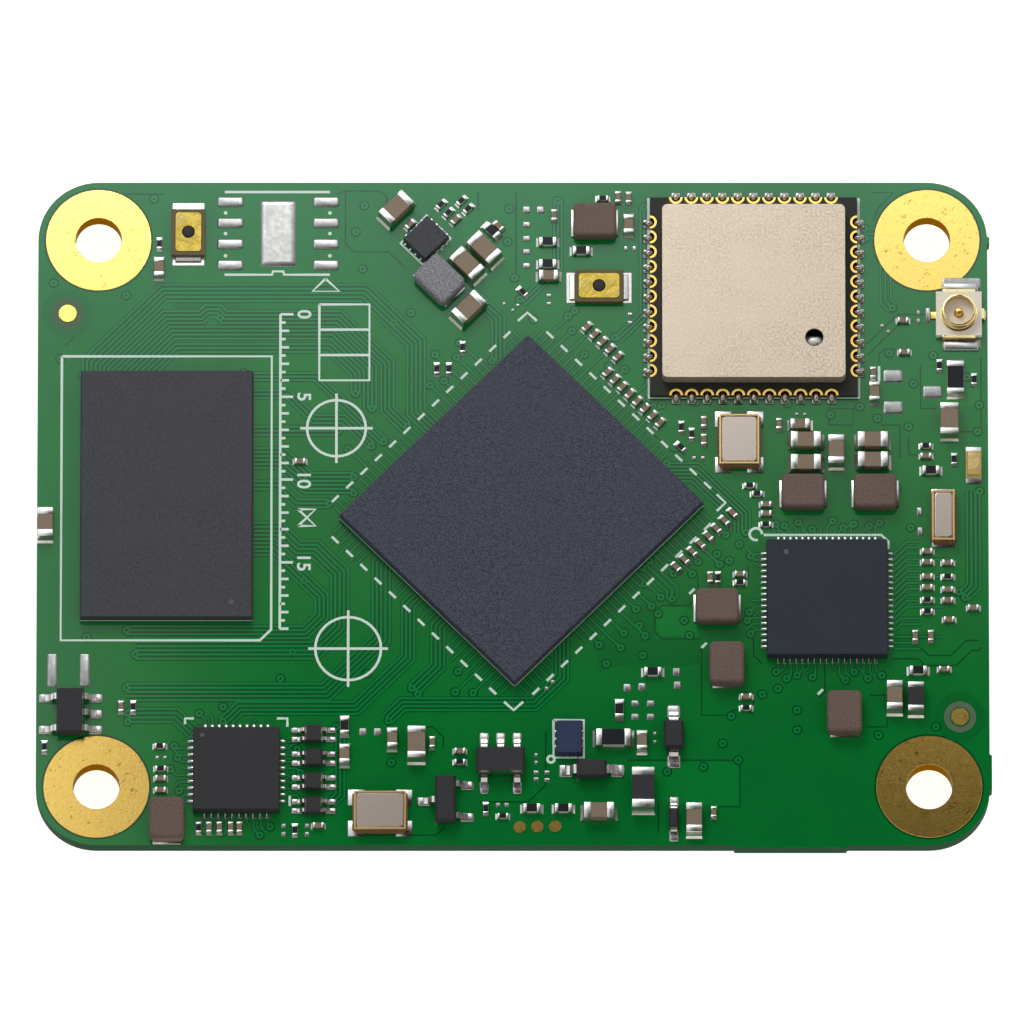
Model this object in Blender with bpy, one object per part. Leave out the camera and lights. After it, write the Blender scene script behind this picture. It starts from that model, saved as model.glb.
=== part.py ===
"""A system on module: a small circuit board with processor, memory, radio, power parts and three board plugs.

Metres, +Z up. The origin lies under the board's centre, on the faces of the plugs that the module rests on.
"""
import math

import bmesh
import bpy
from mathutils import Matrix

# Board, with its four screw holes and the bare copper round them
board_length = 0.055
board_width = 0.040
board_thickness = 0.0012
corner_radius = 0.0035
hole_inset = 0.0035
hole_diameter = 0.0027
ring_diameter = 0.0061
copper_height = 0.000035
fused_depth = 0.0001

# The layout is drawn in columns along the length and rows along the width, counted from the centre
grid_columns = 55
grid_rows = 40
column = board_length / grid_columns
row = board_width / grid_rows

# What is left of the tabs that held the board in its panel
stub_reach = 0.00013
stub_root = 0.0003
stub_recess = 0.00002
front_stub_length = 0.0070
side_stub_length = 0.0009
corner_stub_length = 0.0026
stub_slope = 0.0003

# Seats: solder under a chip, solder balls under an array package, the gap in a seated pair of pieces
solder_gap = 0.00005
ball_height = 0.0002

# Board plugs on the underside
plug_height = 0.0013
plug_length = 0.0219
plug_width = 0.0026
plug_wall = 0.00055
plug_end_wall = 0.0009
plug_recess = 0.0009
plug_edge_inset = 0.0035
contact_pitch = 0.0004
contacts_per_side = 50
contact_width = 0.0002
contact_reach = 0.0003
contact_thickness = 0.00015
contact_lift = 0.00002

# Processor, turned 45 degrees on the board
processor_length = 0.0155
processor_width = 0.0144
processor_substrate = 0.00028
processor_mould = 0.00055

# Memory and flash packages
memory_length = 0.015
memory_width = 0.010
memory_substrate = 0.0002
memory_mould = 0.0005
flash_length = 0.013
flash_width = 0.0115
flash_substrate = 0.0002
flash_mould = 0.0006
mould_step = 0.00004
mould_draft = 0.00004

# Leadless packages
power_chip_size = 0.0070
network_chip_size = 0.0050
leadless_height = 0.0008
regulator_length = 0.0020
regulator_width = 0.00184
load_switch_length = 0.0020
load_switch_width = 0.0015
small_package_height = 0.0006

# Radio module: castellated carrier, folded shield can and the chip inside it
carrier_size = 0.0120
carrier_thickness = 0.00045
castellation_pitch = 0.0009
castellation_radius = 0.00026
castellations_per_side = 11
shield_length = 0.0106
shield_width = 0.0105
shield_height = 0.0011
shield_sheet = 0.00015
shield_corner_radius = 0.0003
pick_hole_diameter = 0.00105
radio_chip_size = 0.0050
radio_chip_height = 0.0006

# Power inductors
inductor_length = 0.0025
inductor_width = 0.0020
inductor_height = 0.0010
inductor_corner = 0.0003
inductor_chamfer = 0.00012

# Crystals: ceramic base with notched corners and a welded lid
crystal_length = 0.0032
crystal_width = 0.0025
crystal_base_height = 0.00045
crystal_lid_height = 0.0002
crystal_lid_corner = 0.0003
crystal_rim = 0.00018
crystal_notch = 0.0002
clock_crystal_length = 0.0032
clock_crystal_width = 0.0015

# Two-ended chips, by size
tiny_length = 0.00064
tiny_width = 0.00033
tiny_resistor_height = 0.00023
tiny_capacitor_height = 0.00032
small_length = 0.0010
small_width = 0.00052
small_resistor_height = 0.00036
small_capacitor_length = 0.00112
small_capacitor_width = 0.0006
small_capacitor_height = 0.00055
medium_length = 0.00175
medium_width = 0.00092
medium_height = 0.00085
large_length = 0.0019
large_width = 0.00105
large_height = 0.0009
chip_cap_length = 0.0004
chip_waist = 0.00002
resistor_length = 0.0020
resistor_width = 0.0010
resistor_height = 0.0005
bead_length = 0.0024
bead_width = 0.0013
bead_height = 0.0010

# Push switches
switch_length = 0.0028
switch_width = 0.00195
switch_height = 0.00045
switch_wall = 0.00038
switch_floor = 0.0001
switch_terminal_reach = 0.0003
switch_terminal_width = 0.0015
switch_terminal_height = 0.00015
film_length = 0.00235
film_width = 0.00148
film_corner = 0.0002
film_thickness = 0.00004
film_gap = 0.00002
plunger_diameter = 0.00066
plunger_clearance = 0.00005
plunger_flange_diameter = 0.0009
plunger_flange_height = 0.00008
plunger_stand = 0.00005
plunger_travel = 0.00013
dome_diameter = 0.0010
dome_rise = 0.00003
dome_thickness = 0.00003

# Antenna socket
socket_base_size = 0.00265
socket_base_height = 0.00035
socket_shell_diameter = 0.0020
socket_shell_wall = 0.00014
socket_height = 0.00125
socket_flange_diameter = 0.00235
socket_sheet = 0.0001
socket_pin_diameter = 0.00045
socket_pin_height = 0.0009
socket_pin_gap = 0.00005
socket_tail_width = 0.0004
socket_tail_reach = 0.0003
socket_arm_width = 0.0019
socket_arm_reach = 0.00055
socket_tab_width = 0.0006

# Leaded packages
sot_length = 0.0028
sot_width = 0.0016
sot_height = 0.0010
sot_lead_pitch = 0.00095
sot_lead_reach = 0.0007
sot_lead_width = 0.0004
transistor_width = 0.0012
transistor_lead_pitch = 0.0019
lead_thickness = 0.00012
diode_length = 0.0017
diode_width = 0.00115
diode_height = 0.0008
diode_lead_reach = 0.0007
small_diode_length = 0.0011
small_diode_width = 0.0006
small_diode_height = 0.0005
array_length = 0.0011
array_width = 0.00105
array_height = 0.0005
array_lead_pitch = 0.00055
array_lead_width = 0.00025
array_lead_reach = 0.00045
led_length = 0.0016
led_width = 0.0009
led_base_height = 0.00025
led_lens_height = 0.0003
led_rim = 0.00005

# Levels: the plugs' faces are at zero
board_bottom = plug_height + solder_gap
board_top = board_bottom + board_thickness
chip_seat = board_top + solder_gap
ball_seat = board_top + ball_height

# Places on the layout: (column, row) or (column, row, turn in degrees)
processor_place = (0.5, 0.0)
memory_place = (-20.0, 0.9)
radio_place = (13.95, 12.95)
power_chip_place = (18.15, -5.3)
network_chip_place = (-15.93, -15.6)
regulator_place = (-5.02, 16.5, 45)
load_switch_place = (3.25, -13.65, 90)
radio_crystal_gap = 0.0011
radio_crystal_drop = carrier_size / 2 + radio_crystal_gap + crystal_length / 2
radio_crystal_place = (13.1, radio_place[1] - radio_crystal_drop / row, 90)
network_crystal_place = (-7.65, -18.1, 0)
clock_crystal_place = (24.88, -0.35, 90)
flash_place = (4.5, 0.0)
antenna_place = (25.83, 11.9)
left_switch_place = (-18.8, 16.85, 90)
right_switch_gap = 0.00125
right_switch_shift = carrier_size / 2 + right_switch_gap + switch_length / 2 + switch_terminal_reach
right_switch_place = (radio_place[0] - right_switch_shift / column, 13.6, 0)
switch_capacitor_gap = 0.00066
switch_capacitor_shift = (
    switch_length / 2 + switch_terminal_reach + switch_capacitor_gap + small_capacitor_length / 2
)
switch_capacitor_place = (right_switch_place[0] - switch_capacitor_shift / column, 14.25, 0)
regulator_inductor_gap = 0.00019
regulator_inductor_slip = 0.00127
regulator_inductor_shift = regulator_width / 2 + regulator_inductor_gap + inductor_length / 2
regulator_inductor_place = (
    regulator_place[0] + (regulator_inductor_shift - regulator_inductor_slip) * math.sqrt(0.5) / column,
    regulator_place[1] - (regulator_inductor_shift + regulator_inductor_slip) * math.sqrt(0.5) / row,
    -45,
)
led_place = (26.65, 2.85, 90)
bead_place = (7.52, -16.8, 90)
inductor_places = {
    "input_inductor": (4.75, 17.5, 0),
    "core_inductor_left": (16.78, 1.1, 0),
    "core_inductor_right": (20.95, 1.1, 0),
    "memory_inductor": (11.8, -5.8, 0),
    "logic_inductor": (12.35, -9.25, 90),
    "io_inductor": (19.13, -12.2, 90),
    "regulator_inductor": regulator_inductor_place,
}
network_inductor_row = -18.6
network_inductor_gap = 0.0005
capacitor_places = [
    (-6.75, 18.25, 45), (-1.65, 15.8, -45), (-2.65, 14.85, -45),
    (-2.55, 12.2, 45), (25.25, 5.45, 90), (-5.55, -14.05, 90),
]
antenna_coil_place = (25.62, 8.05, 90)
sense_resistor_place = (5.8, -13.65, 0)
filter_coil_place = (23.25, -11.3, 90)
logic_chip_places = {"logic_chip_left": (-25.5, -12.15, 90), "logic_chip_front": (-0.7, -15.1, 180)}
transistor_place = (-3.88, -17.4, -90)
diode_places = [(4.55, -15.55, 0), (9.28, -13.5, 90)]
small_diode_place = (9.28, -18.45, 90)
array_column = -11.48
array_first_row = -13.4
array_row_pitch = 1.43
array_count = 4

tiny_resistor_places = [
    (-20.48, 16.23, 90), (-4.15, 18.62, 45), (-3.72, 18.12, 45), (-2.97, 18.85, 45), (-2.58, 18.36, 45),
    (5.22, 19.0, 0), (0.58, 13.32, -45), (-2.9, 9.95, 90), (-4.4, 8.65, 90), (-3.7, 8.65, 90),
    (9.75, 5.12, 90), (10.35, 4.7, 90), (9.72, 3.93, -45), (13.7, 1.6, 0), (14.13, 1.1, 0),
    (14.63, -0.75, 0), (11.85, -3.97, 90), (13.13, -4.25, 0), (23.95, -5.3, 0), (23.95, -6.0, 0),
    (25.13, -3.9, 0), (24.7, 8.85, 90), (26.7, 8.0, 90), (23.9, 4.0, 0), (25.52, 3.18, 90),
    (-3.05, -15.05, 0), (-1.55, -17.85, 90), (-0.57, -18.3, 0), (13.47, -11.8, 0), (-20.35, -14.1, 0),
    (-20.3, -15.45, 0), (-21.9, -11.75, 90), (-27.0, -14.15, 90), (-18.1, -19.0, 90), (-12.55, -19.15, 90),
]
tiny_capacitor_places = [
    (-5.95, 17.4, 45), (-3.3, 17.68, 45), (-0.82, 17.3, -45), (2.4, 17.95, 90), (6.1, 19.05, 90),
    (6.72, 19.02, 90), (11.05, 5.42, 90), (11.05, 4.35, 90), (15.4, 5.3, 90), (14.65, 0.45, 0),
    (14.65, -0.1, 0), (11.4, -3.97, 90), (13.13, -3.75, 0), (-12.3, 3.05, 0), (22.68, 9.66, 0),
    (20.85, 8.4, 90), (22.6, 11.58, 0), (23.9, 3.38, 0), (23.95, -2.38, 0), (23.95, -3.03, 0),
    (23.95, -3.9, 0), (23.95, -4.55, 0), (25.13, -3.07, 0), (25.13, -4.68, 0), (25.13, -5.33, 0),
    (26.6, -5.78, 0), (25.2, -6.5, 0), (23.23, -7.5, 90), (24.13, -7.5, 90), (24.9, -9.48, 0),
    (-3.05, -14.4, 0), (-4.65, -13.9, 90), (13.47, -11.12, 0), (11.58, -18.1, 90), (-20.3, -16.05, 0),
    (-20.3, -16.75, 0), (-22.6, -11.75, 90), (-15.75, -19.0, 90), (-16.25, -19.0, 90), (-16.9, -19.0, 90),
    (-17.5, -19.0, 90), (-11.2, -18.88, 0),
]
small_resistor_places = [
    (-1.22, 17.0, -45), (2.03, 16.35, 0), (2.03, 15.0, 0), (3.97, 15.8, 0), (24.18, 2.5, 0),
    (8.08, -9.65, 0), (6.15, -11.9, 90), (-9.7, -12.9, 90), (1.1, -17.85, 0), (2.92, -17.85, 0),
    (23.4, -9.57, 0),
]
small_capacitor_places = [
    (-20.5, 14.75, 90), switch_capacitor_place, (6.72, 17.35, 90), (16.62, 5.25, 0), (20.93, 7.2, 90),
    (7.45, -13.85, 90), (-9.7, -14.65, 90), (-6.95, -13.68, 90),
]
medium_capacitor_places = [
    (16.95, 4.22, 0), (16.95, 2.85, 0), (18.7, 3.62, 90), (20.82, 4.22, 0), (20.82, 3.0, 0),
    (4.97, -18.1, 0), (10.45, -18.55, 90), (22.03, -11.2, 90),
]
edge_capacitor_row = -0.78

# Rows of tiny chips that follow the processor's two right-hand sides
rows_by_long_side = [(0.00173, -0.00244, 0.000616, 8), (0.00284, -0.00523, 0.000635, 5)]
row_by_wide_side = (0.00148, 0.00396, 0.00066, 8)

# Two wide pad rows of an unfitted eight-pin part
unfitted_place = (-13.6, 16.9)
unfitted_pad_length = 0.0015
unfitted_pad_width = 0.0006
unfitted_pad_pitch = 0.00128
unfitted_row_spacing = 0.00555
unfitted_pads_per_row = 4
unfitted_centre_length = 0.00205
unfitted_centre_width = 0.0040

# Rounding of circles
hole_steps = 36
ring_steps = 48
corner_steps = 14
shell_steps = 32


def clear_scene():
    """Start from an empty scene."""
    for item in list(bpy.data.objects):
        bpy.data.objects.remove(item, do_unlink=True)


def on_layout(place, level):
    """The placement of a layout entry at a level: its spot in metres and its turn about Z."""
    turn = place[2] if len(place) > 2 else 0
    spot = Matrix.Translation((place[0] * column, place[1] * row, level))
    return spot @ Matrix.Rotation(math.radians(turn), 4, "Z")


def plain_material(name, colour, roughness, metallic=0.0):
    """A plain material of one colour."""
    material = bpy.data.materials.new(name)
    material.use_nodes = True
    shader = material.node_tree.nodes["Principled BSDF"]
    shader.inputs["Base Color"].default_value = (*colour, 1.0)
    shader.inputs["Roughness"].default_value = roughness
    shader.inputs["Metallic"].default_value = metallic
    return material


MASK = ((0.03, 0.24, 0.09), 0.35)
MOULD = ((0.06, 0.06, 0.07), 0.6)
ARRAY_MOULD = ((0.055, 0.052, 0.072), 0.6)
NICKEL = ((0.62, 0.55, 0.46), 0.4, 1.0)
GOLD = ((0.85, 0.62, 0.25), 0.3, 1.0)
TINNED = ((0.7, 0.68, 0.66), 0.35, 1.0)
INDUCTOR = ((0.17, 0.13, 0.11), 0.7)
CERAMIC = ((0.26, 0.19, 0.13), 0.5)
SUBSTRATE = ((0.05, 0.06, 0.06), 0.5)
LID = ((0.6, 0.52, 0.46), 0.35, 1.0)
CREAM = ((0.75, 0.68, 0.58), 0.5)
PLUG = ((0.03, 0.03, 0.03), 0.5)
FILM = ((0.85, 0.62, 0.1), 0.3)
FRAME = ((0.24, 0.18, 0.1), 0.5)
RUBBER = ((0.06, 0.05, 0.04), 0.6)
LENS = ((0.85, 0.72, 0.42), 0.3)


def add_piece(name, shape, place, look):
    """One named object from a finished shape, with its own material."""
    bmesh.ops.recalc_face_normals(shape, faces=shape.faces)
    mesh = bpy.data.meshes.new(name)
    shape.to_mesh(mesh)
    shape.free()
    mesh.shade_smooth()
    mesh.set_sharp_from_angle(angle=math.radians(30))
    mesh.materials.append(plain_material(name, *look))
    piece = bpy.data.objects.new(name, mesh)
    piece.matrix_world = place
    bpy.context.scene.collection.objects.link(piece)
    return piece


def add_tool(name, shape, place):
    """A helper shape for a Boolean: it is never part of the model."""
    tool = add_piece(name, shape, place, RUBBER)
    tool.hide_render = True
    tool.display_type = "WIRE"
    return tool


def combine(piece, shape, operation):
    """Join a helper shape to a piece, or cut it out, in the piece's own frame."""
    step = piece.modifiers.new(operation.lower(), "BOOLEAN")
    step.operation = operation
    step.solver = "EXACT"
    step.use_self = operation == "UNION"
    step.object = add_tool(f"{piece.name}_{operation.lower()}_shape", shape, piece.matrix_world)


def gather(shapes):
    """Several placed shapes as one mesh."""
    whole = bmesh.new()
    for shape, place in shapes:
        shape.transform(place)
        mesh = bpy.data.meshes.new("gathered")
        shape.to_mesh(mesh)
        shape.free()
        whole.from_mesh(mesh)
        bpy.data.meshes.remove(mesh)
    return whole


def rectangle(length, width, radius=0.0, steps=3):
    """Corner points of a rectangle, with round corners if it has a radius."""
    points = []
    for quarter in range(4):
        side_x = 1 if quarter in (0, 3) else -1
        side_y = 1 if quarter in (0, 1) else -1
        if radius == 0.0:
            points.append((side_x * length / 2, side_y * width / 2))
            continue
        for step in range(steps + 1):
            angle = math.pi / 2 * (quarter + step / steps)
            points.append((
                side_x * (length / 2 - radius) + radius * math.cos(angle),
                side_y * (width / 2 - radius) + radius * math.sin(angle),
            ))
    return points


def circle(diameter, steps):
    """Points round a circle."""
    return [
        (diameter / 2 * math.cos(2 * math.pi * k / steps), diameter / 2 * math.sin(2 * math.pi * k / steps))
        for k in range(steps)
    ]


class Form:
    """A closed shape that grows upwards from a flat outline."""

    def __init__(self, outline, bottom=0.0):
        self.shape = bmesh.new()
        corners = [self.shape.verts.new((x, y, bottom)) for x, y in outline]
        self.base = self.shape.faces.new(corners)
        self.top = self.base

    def rise(self, height, draft=0.0):
        """Pull the top face up, and draw its sides in by the draft."""
        lower = self.top
        is_bottom = all(len(edge.link_faces) == 1 for edge in lower.edges)
        grown = bmesh.ops.extrude_face_region(self.shape, geom=[lower])["geom"]
        self.top = next(item for item in grown if isinstance(item, bmesh.types.BMFace))
        if not is_bottom:
            self.shape.faces.remove(lower)
        reach_x = max(abs(corner.co.x) for corner in self.top.verts)
        reach_y = max(abs(corner.co.y) for corner in self.top.verts)
        for corner in self.top.verts:
            corner.co.x *= 1 - draft / reach_x
            corner.co.y *= 1 - draft / reach_y
            corner.co.z += height
        return self

    def step_in(self, width):
        """Leave a ledge round the top face."""
        bmesh.ops.inset_region(self.shape, faces=[self.top], thickness=width, use_even_offset=True)
        return self

    def sink(self, wall, depth):
        """Hollow the shape from its top face, leaving a wall."""
        return self.step_in(wall).rise(-depth)

    def hollow_below(self, wall, depth):
        """Hollow the shape from its underside, leaving a wall."""
        self.top = self.base
        return self.sink(wall, -depth)


def block(length, width, height, bottom=0.0):
    """A plain rectangular shape."""
    return Form(rectangle(length, width), bottom).rise(height).shape


def loft(rings):
    """A closed shape through rings of points, one after another."""
    shape = bmesh.new()
    loops = [[shape.verts.new(point) for point in ring] for ring in rings]
    for near, far in zip(loops, loops[1:]):
        for k, corner in enumerate(near):
            following = (k + 1) % len(near)
            shape.faces.new((corner, near[following], far[following], far[k]))
    shape.faces.new(loops[0])
    shape.faces.new(loops[-1])
    return shape


def turned(profile, steps, closed=False):
    """A profile of (radius, height) points turned about Z."""
    shape = bmesh.new()
    corners = [shape.verts.new((radius, 0, height)) for radius, height in profile]
    ends = corners[1:] + corners[:1] if closed else corners[1:]
    edges = [shape.edges.new(pair) for pair in zip(corners, ends)]
    bmesh.ops.spin(
        shape, geom=corners + edges, axis=(0, 0, 1), cent=(0, 0, 0), angle=2 * math.pi, steps=steps,
        use_merge=True,
    )
    bmesh.ops.remove_doubles(shape, verts=shape.verts, dist=1e-7)
    return shape


def two_ended_chip(length, width, height, cap, waist=chip_waist):
    """A chip along X whose metal end caps stand a little proud of the ceramic between them."""
    def section(x, inset):
        half = width / 2 - inset
        return [(x, -half, inset), (x, half, inset), (x, half, height - inset), (x, -half, height - inset)]

    end = length / 2
    return loft([
        section(-end, 0), section(cap - end, 0), section(cap - end, waist),
        section(end - cap, waist), section(end - cap, 0), section(end, 0),
    ])


def gull_lead(edge, reach, top, width):
    """A lead along X that leaves a body's edge level, drops, and lies flat at Z = 0."""
    start = edge - 2 * lead_thickness
    shoulder = edge + 0.3 * reach
    foot = edge + 0.55 * reach
    toe = edge + reach
    under = top - lead_thickness
    outline = [
        (start, top), (shoulder, top), (foot, lead_thickness), (toe, lead_thickness), (toe, 0),
        (foot - lead_thickness, 0), (shoulder - lead_thickness, under), (start, under),
    ]
    return loft([[(x, side * width / 2, z) for x, z in outline] for side in (-1, 1)])


def leaded_body(length, width, height):
    """A moulded body along X, widest at its parting line."""
    levels = ((lead_thickness, mould_draft * 2), (height * 0.55, 0), (height, mould_draft * 3))
    return loft([
        [(x, y, level) for x, y in rectangle(length - 2 * draft, width - 2 * draft)] for level, draft in levels
    ])


def leaded_package(name, place, size, leads):
    """A moulded body with bent leads: each lead is (direction, offset along the side, width, reach)."""
    length, width, height = size
    piece = add_piece(name, leaded_body(length, width, height), on_layout(place, chip_seat), MOULD)
    shapes = []
    for direction, offset, lead_width, reach in leads:
        edge = length / 2 if direction in (0, 180) else width / 2
        lead = gull_lead(edge, reach, height * 0.55, lead_width)
        turn = Matrix.Rotation(math.radians(direction), 4, "Z")
        shapes.append((lead, Matrix.Translation((offset, 0, 0)) @ turn))
    combine(piece, gather(shapes), "UNION")


def hole_spots():
    """The centres of the four screw holes."""
    across = board_length / 2 - hole_inset
    up = board_width / 2 - hole_inset
    return [(side_x * across, side_y * up) for side_x in (-1, 1) for side_y in (-1, 1)]


def stub(length):
    """A broken tab stub along X that stands out of an edge at Y = 0."""
    outline = [
        (-length / 2, 0), (length / 2, 0), (length / 2 - stub_slope, stub_reach),
        (stub_slope - length / 2, stub_reach),
    ]
    rooted = [(x, y if y > 0 else -stub_root) for x, y in outline]
    return Form(rooted, stub_recess).rise(board_thickness - 2 * stub_recess).shape


def fused_chip(length, width, height):
    """A chip of the board's own node: it reaches a little into the board."""
    return block(length, width, height + fused_depth, board_thickness - fused_depth)


def rows_by_processor():
    """The rows of tiny chips along the processor's right-hand sides, in the board's frame."""
    spots = []
    turn = Matrix.Rotation(math.radians(45), 4, "Z")
    for gap, first, pitch, count in rows_by_long_side:
        out = processor_length / 2 + gap
        spots += [turn @ Matrix.Translation((out, -(first + k * pitch), 0)) for k in range(count)]
    gap, first, pitch, count = row_by_wide_side
    out = processor_width / 2 + gap
    quarter = Matrix.Rotation(math.radians(-90), 4, "Z")
    spots += [turn @ Matrix.Translation((first + k * pitch, -out, 0)) @ quarter for k in range(count)]
    centre = Matrix.Translation((processor_place[0] * column, processor_place[1] * row, 0))
    return [centre @ spot for spot in spots]


def fused_chips():
    """All small chips, which are too many for nodes of their own."""
    families = [
        (tiny_resistor_places, (tiny_length, tiny_width, tiny_resistor_height)),
        (tiny_capacitor_places, (tiny_length, tiny_width, tiny_capacitor_height)),
        (small_resistor_places, (small_length, small_width, small_resistor_height)),
        (small_capacitor_places, (small_capacitor_length, small_capacitor_width, small_capacitor_height)),
        (medium_capacitor_places, (medium_length, medium_width, medium_height)),
    ]
    shapes = []
    for places, size in families:
        shapes += [(fused_chip(*size), on_layout(place, 0)) for place in places]
    tiny = (tiny_length, tiny_width, tiny_capacitor_height)
    shapes += [(fused_chip(*tiny), spot) for spot in rows_by_processor()]
    edge_spot = Matrix.Translation((medium_width / 2 - board_length / 2, edge_capacitor_row * row, 0))
    edge_chip = fused_chip(medium_width - 2 * stub_recess, medium_length, medium_height)
    shapes.append((edge_chip, edge_spot @ Matrix.Translation((stub_recess, 0, 0))))
    return shapes


def unfitted_pads():
    """Copper pads of the eight-pin part that is left off this board."""
    centre_x = unfitted_place[0] * column
    centre_y = unfitted_place[1] * row
    shapes = [(
        fused_chip(unfitted_centre_length, unfitted_centre_width, copper_height),
        Matrix.Translation((centre_x, centre_y, 0)),
    )]
    for side in (-1, 1):
        for k in range(unfitted_pads_per_row):
            along = (k - (unfitted_pads_per_row - 1) / 2) * unfitted_pad_pitch
            spot = Matrix.Translation((centre_x + side * unfitted_row_spacing / 2, centre_y + along, 0))
            shapes.append((fused_chip(unfitted_pad_length, unfitted_pad_width, copper_height), spot))
    return shapes


def make_board():
    """The board with its copper rings, pads, tab stubs and small chips, and its four holes."""
    outline = rectangle(board_length, board_width, corner_radius, corner_steps)
    shape = Form(outline).rise(board_thickness).shape
    board = add_piece("circuit_board", shape, Matrix.Translation((0, 0, board_bottom)), MASK)
    ring_reach = board_thickness + 2 * copper_height
    additions = [
        (Form(circle(ring_diameter, ring_steps), -copper_height).rise(ring_reach).shape,
         Matrix.Translation((x, y, 0)))
        for x, y in hole_spots()
    ]
    quarter = Matrix.Rotation(math.radians(-90), 4, "Z")
    half = Matrix.Rotation(math.radians(180), 4, "Z")
    edge_x = board_length / 2
    edge_y = board_width / 2
    additions += [
        (stub(front_stub_length), Matrix.Translation((16.0 * column, -edge_y, 0)) @ half),
        (stub(side_stub_length), Matrix.Translation((edge_x, edge_y - corner_radius, 0)) @ quarter),
        (stub(corner_stub_length), Matrix.Translation((edge_x, -edge_y + 1.25 * corner_radius, 0)) @ quarter),
    ]
    additions += fused_chips()
    additions += unfitted_pads()
    combine(board, gather(additions), "UNION")
    holes = [
        (Form(circle(hole_diameter, hole_steps), -board_thickness).rise(3 * board_thickness).shape,
         Matrix.Translation((x, y, 0)))
        for x, y in hole_spots()
    ]
    combine(board, gather(holes), "DIFFERENCE")


def array_package(name, place, size, levels, look, bottom):
    """A ball-array package: a thin substrate with a moulded cap a step inside its edge."""
    length, width = size
    substrate, mould = levels
    form = Form(rectangle(length, width)).rise(substrate).step_in(mould_step).rise(mould, mould_draft)
    add_piece(name, form.shape, on_layout(place, bottom), look)


def make_array_packages():
    """Processor, memory and, hung upside down below the board, the flash storage."""
    array_package(
        "processor", (*processor_place, 45), (processor_length, processor_width),
        (processor_substrate, processor_mould), ARRAY_MOULD, ball_seat,
    )
    array_package(
        "memory", (*memory_place, 90), (memory_length, memory_width),
        (memory_substrate, memory_mould), MOULD, ball_seat,
    )
    form = Form(rectangle(flash_width, flash_length)).rise(flash_substrate)
    form.step_in(mould_step).rise(flash_mould, mould_draft)
    hung = on_layout(flash_place, board_bottom - ball_height) @ Matrix.Rotation(math.pi, 4, "X")
    add_piece("flash_storage", form.shape, hung, MOULD)


def leadless_package(name, place, length, width, height, look=MOULD):
    """A flat moulded package with no standing leads."""
    form = Form(rectangle(length, width)).rise(height * 0.3).rise(height * 0.7, mould_draft)
    add_piece(name, form.shape, on_layout(place, chip_seat), look)


def make_leadless_packages():
    """Power controller, network transceiver, step-down regulator and load switch."""
    leadless_package("power_controller", power_chip_place, power_chip_size, power_chip_size, leadless_height)
    leadless_package(
        "network_transceiver", network_chip_place, network_chip_size, network_chip_size, leadless_height,
    )
    leadless_package(
        "step_down_regulator", regulator_place, regulator_length, regulator_width, small_package_height,
    )
    leadless_package(
        "load_switch", load_switch_place, load_switch_length, load_switch_width, small_package_height,
    )


def castellated_outline(size, pitch, radius, count, steps=4):
    """A square outline with a row of half-round notches in each side."""
    side = [(size / 2, -size / 2)]
    for k in range(count):
        along = (k - (count - 1) / 2) * pitch
        for step in range(steps + 1):
            angle = math.pi * step / steps
            side.append((size / 2 - radius * math.sin(angle), along - radius * math.cos(angle)))
    turns = ((1, 0), (0, 1), (-1, 0), (0, -1))
    return [(x * cosine - y * sine, x * sine + y * cosine) for cosine, sine in turns for x, y in side]


def make_radio():
    """The radio module: castellated carrier, the chip on it and the shield can over that."""
    carrier = Form(castellated_outline(
        carrier_size, castellation_pitch, castellation_radius, castellations_per_side,
    )).rise(carrier_thickness).shape
    add_piece("radio_carrier", carrier, on_layout(radio_place, chip_seat), SUBSTRATE)
    carrier_top = chip_seat + carrier_thickness + solder_gap
    chip = Form(rectangle(radio_chip_size, radio_chip_size)).rise(radio_chip_height, mould_draft).shape
    add_piece("radio_chip", chip, on_layout(radio_place, carrier_top), MOULD)
    can = Form(rectangle(shield_length, shield_width, shield_corner_radius)).rise(shield_height)
    can.hollow_below(shield_sheet, shield_height - shield_sheet)
    shield = add_piece("radio_shield", can.shape, on_layout(radio_place, carrier_top), NICKEL)
    hole = Form(circle(pick_hole_diameter, hole_steps), shield_height / 2).rise(shield_height).shape
    combine(shield, gather([(hole, Matrix.Translation(pick_hole_spot()))]), "DIFFERENCE")


def pick_hole_spot():
    """The place of the hole in the shield can, near its front right corner."""
    return (shield_length * 0.33, -shield_width * 0.27, 0)


def make_inductors():
    """Moulded power inductors with soft top edges."""
    places = dict(inductor_places)
    network_left = network_chip_place[0] * column - network_chip_size / 2
    inductor_x = network_left - network_inductor_gap - inductor_width / 2
    places["network_inductor"] = (inductor_x / column, network_inductor_row, 90)
    for name, place in places.items():
        form = Form(rectangle(inductor_length, inductor_width, inductor_corner))
        form.rise(inductor_height - inductor_chamfer).rise(inductor_chamfer, inductor_chamfer)
        add_piece(name, form.shape, on_layout(place, chip_seat), INDUCTOR)


def notched_outline(length, width, notch, steps=3):
    """A rectangle with a quarter-round notch at each corner."""
    points = []
    for quarter in range(4):
        side_x = 1 if quarter in (0, 3) else -1
        side_y = 1 if quarter in (0, 1) else -1
        for step in range(steps + 1):
            angle = math.pi / 2 * (quarter + 3 - step / steps)
            points.append((
                side_x * length / 2 + notch * math.cos(angle),
                side_y * width / 2 + notch * math.sin(angle),
            ))
    return points


def make_crystal(name, place, length, width):
    """A ceramic crystal package: notched base and raised metal lid."""
    base = Form(notched_outline(length, width, crystal_notch)).rise(crystal_base_height).shape
    add_piece(f"{name}_base", base, on_layout(place, chip_seat), CERAMIC)
    lid = Form(rectangle(length - crystal_rim, width - crystal_rim, crystal_lid_corner))
    lid.rise(crystal_lid_height / 2).step_in(crystal_rim / 2).rise(crystal_lid_height / 2, crystal_rim / 2)
    lid_seat = chip_seat + crystal_base_height + solder_gap
    add_piece(f"{name}_lid", lid.shape, on_layout(place, lid_seat), LID)


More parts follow.
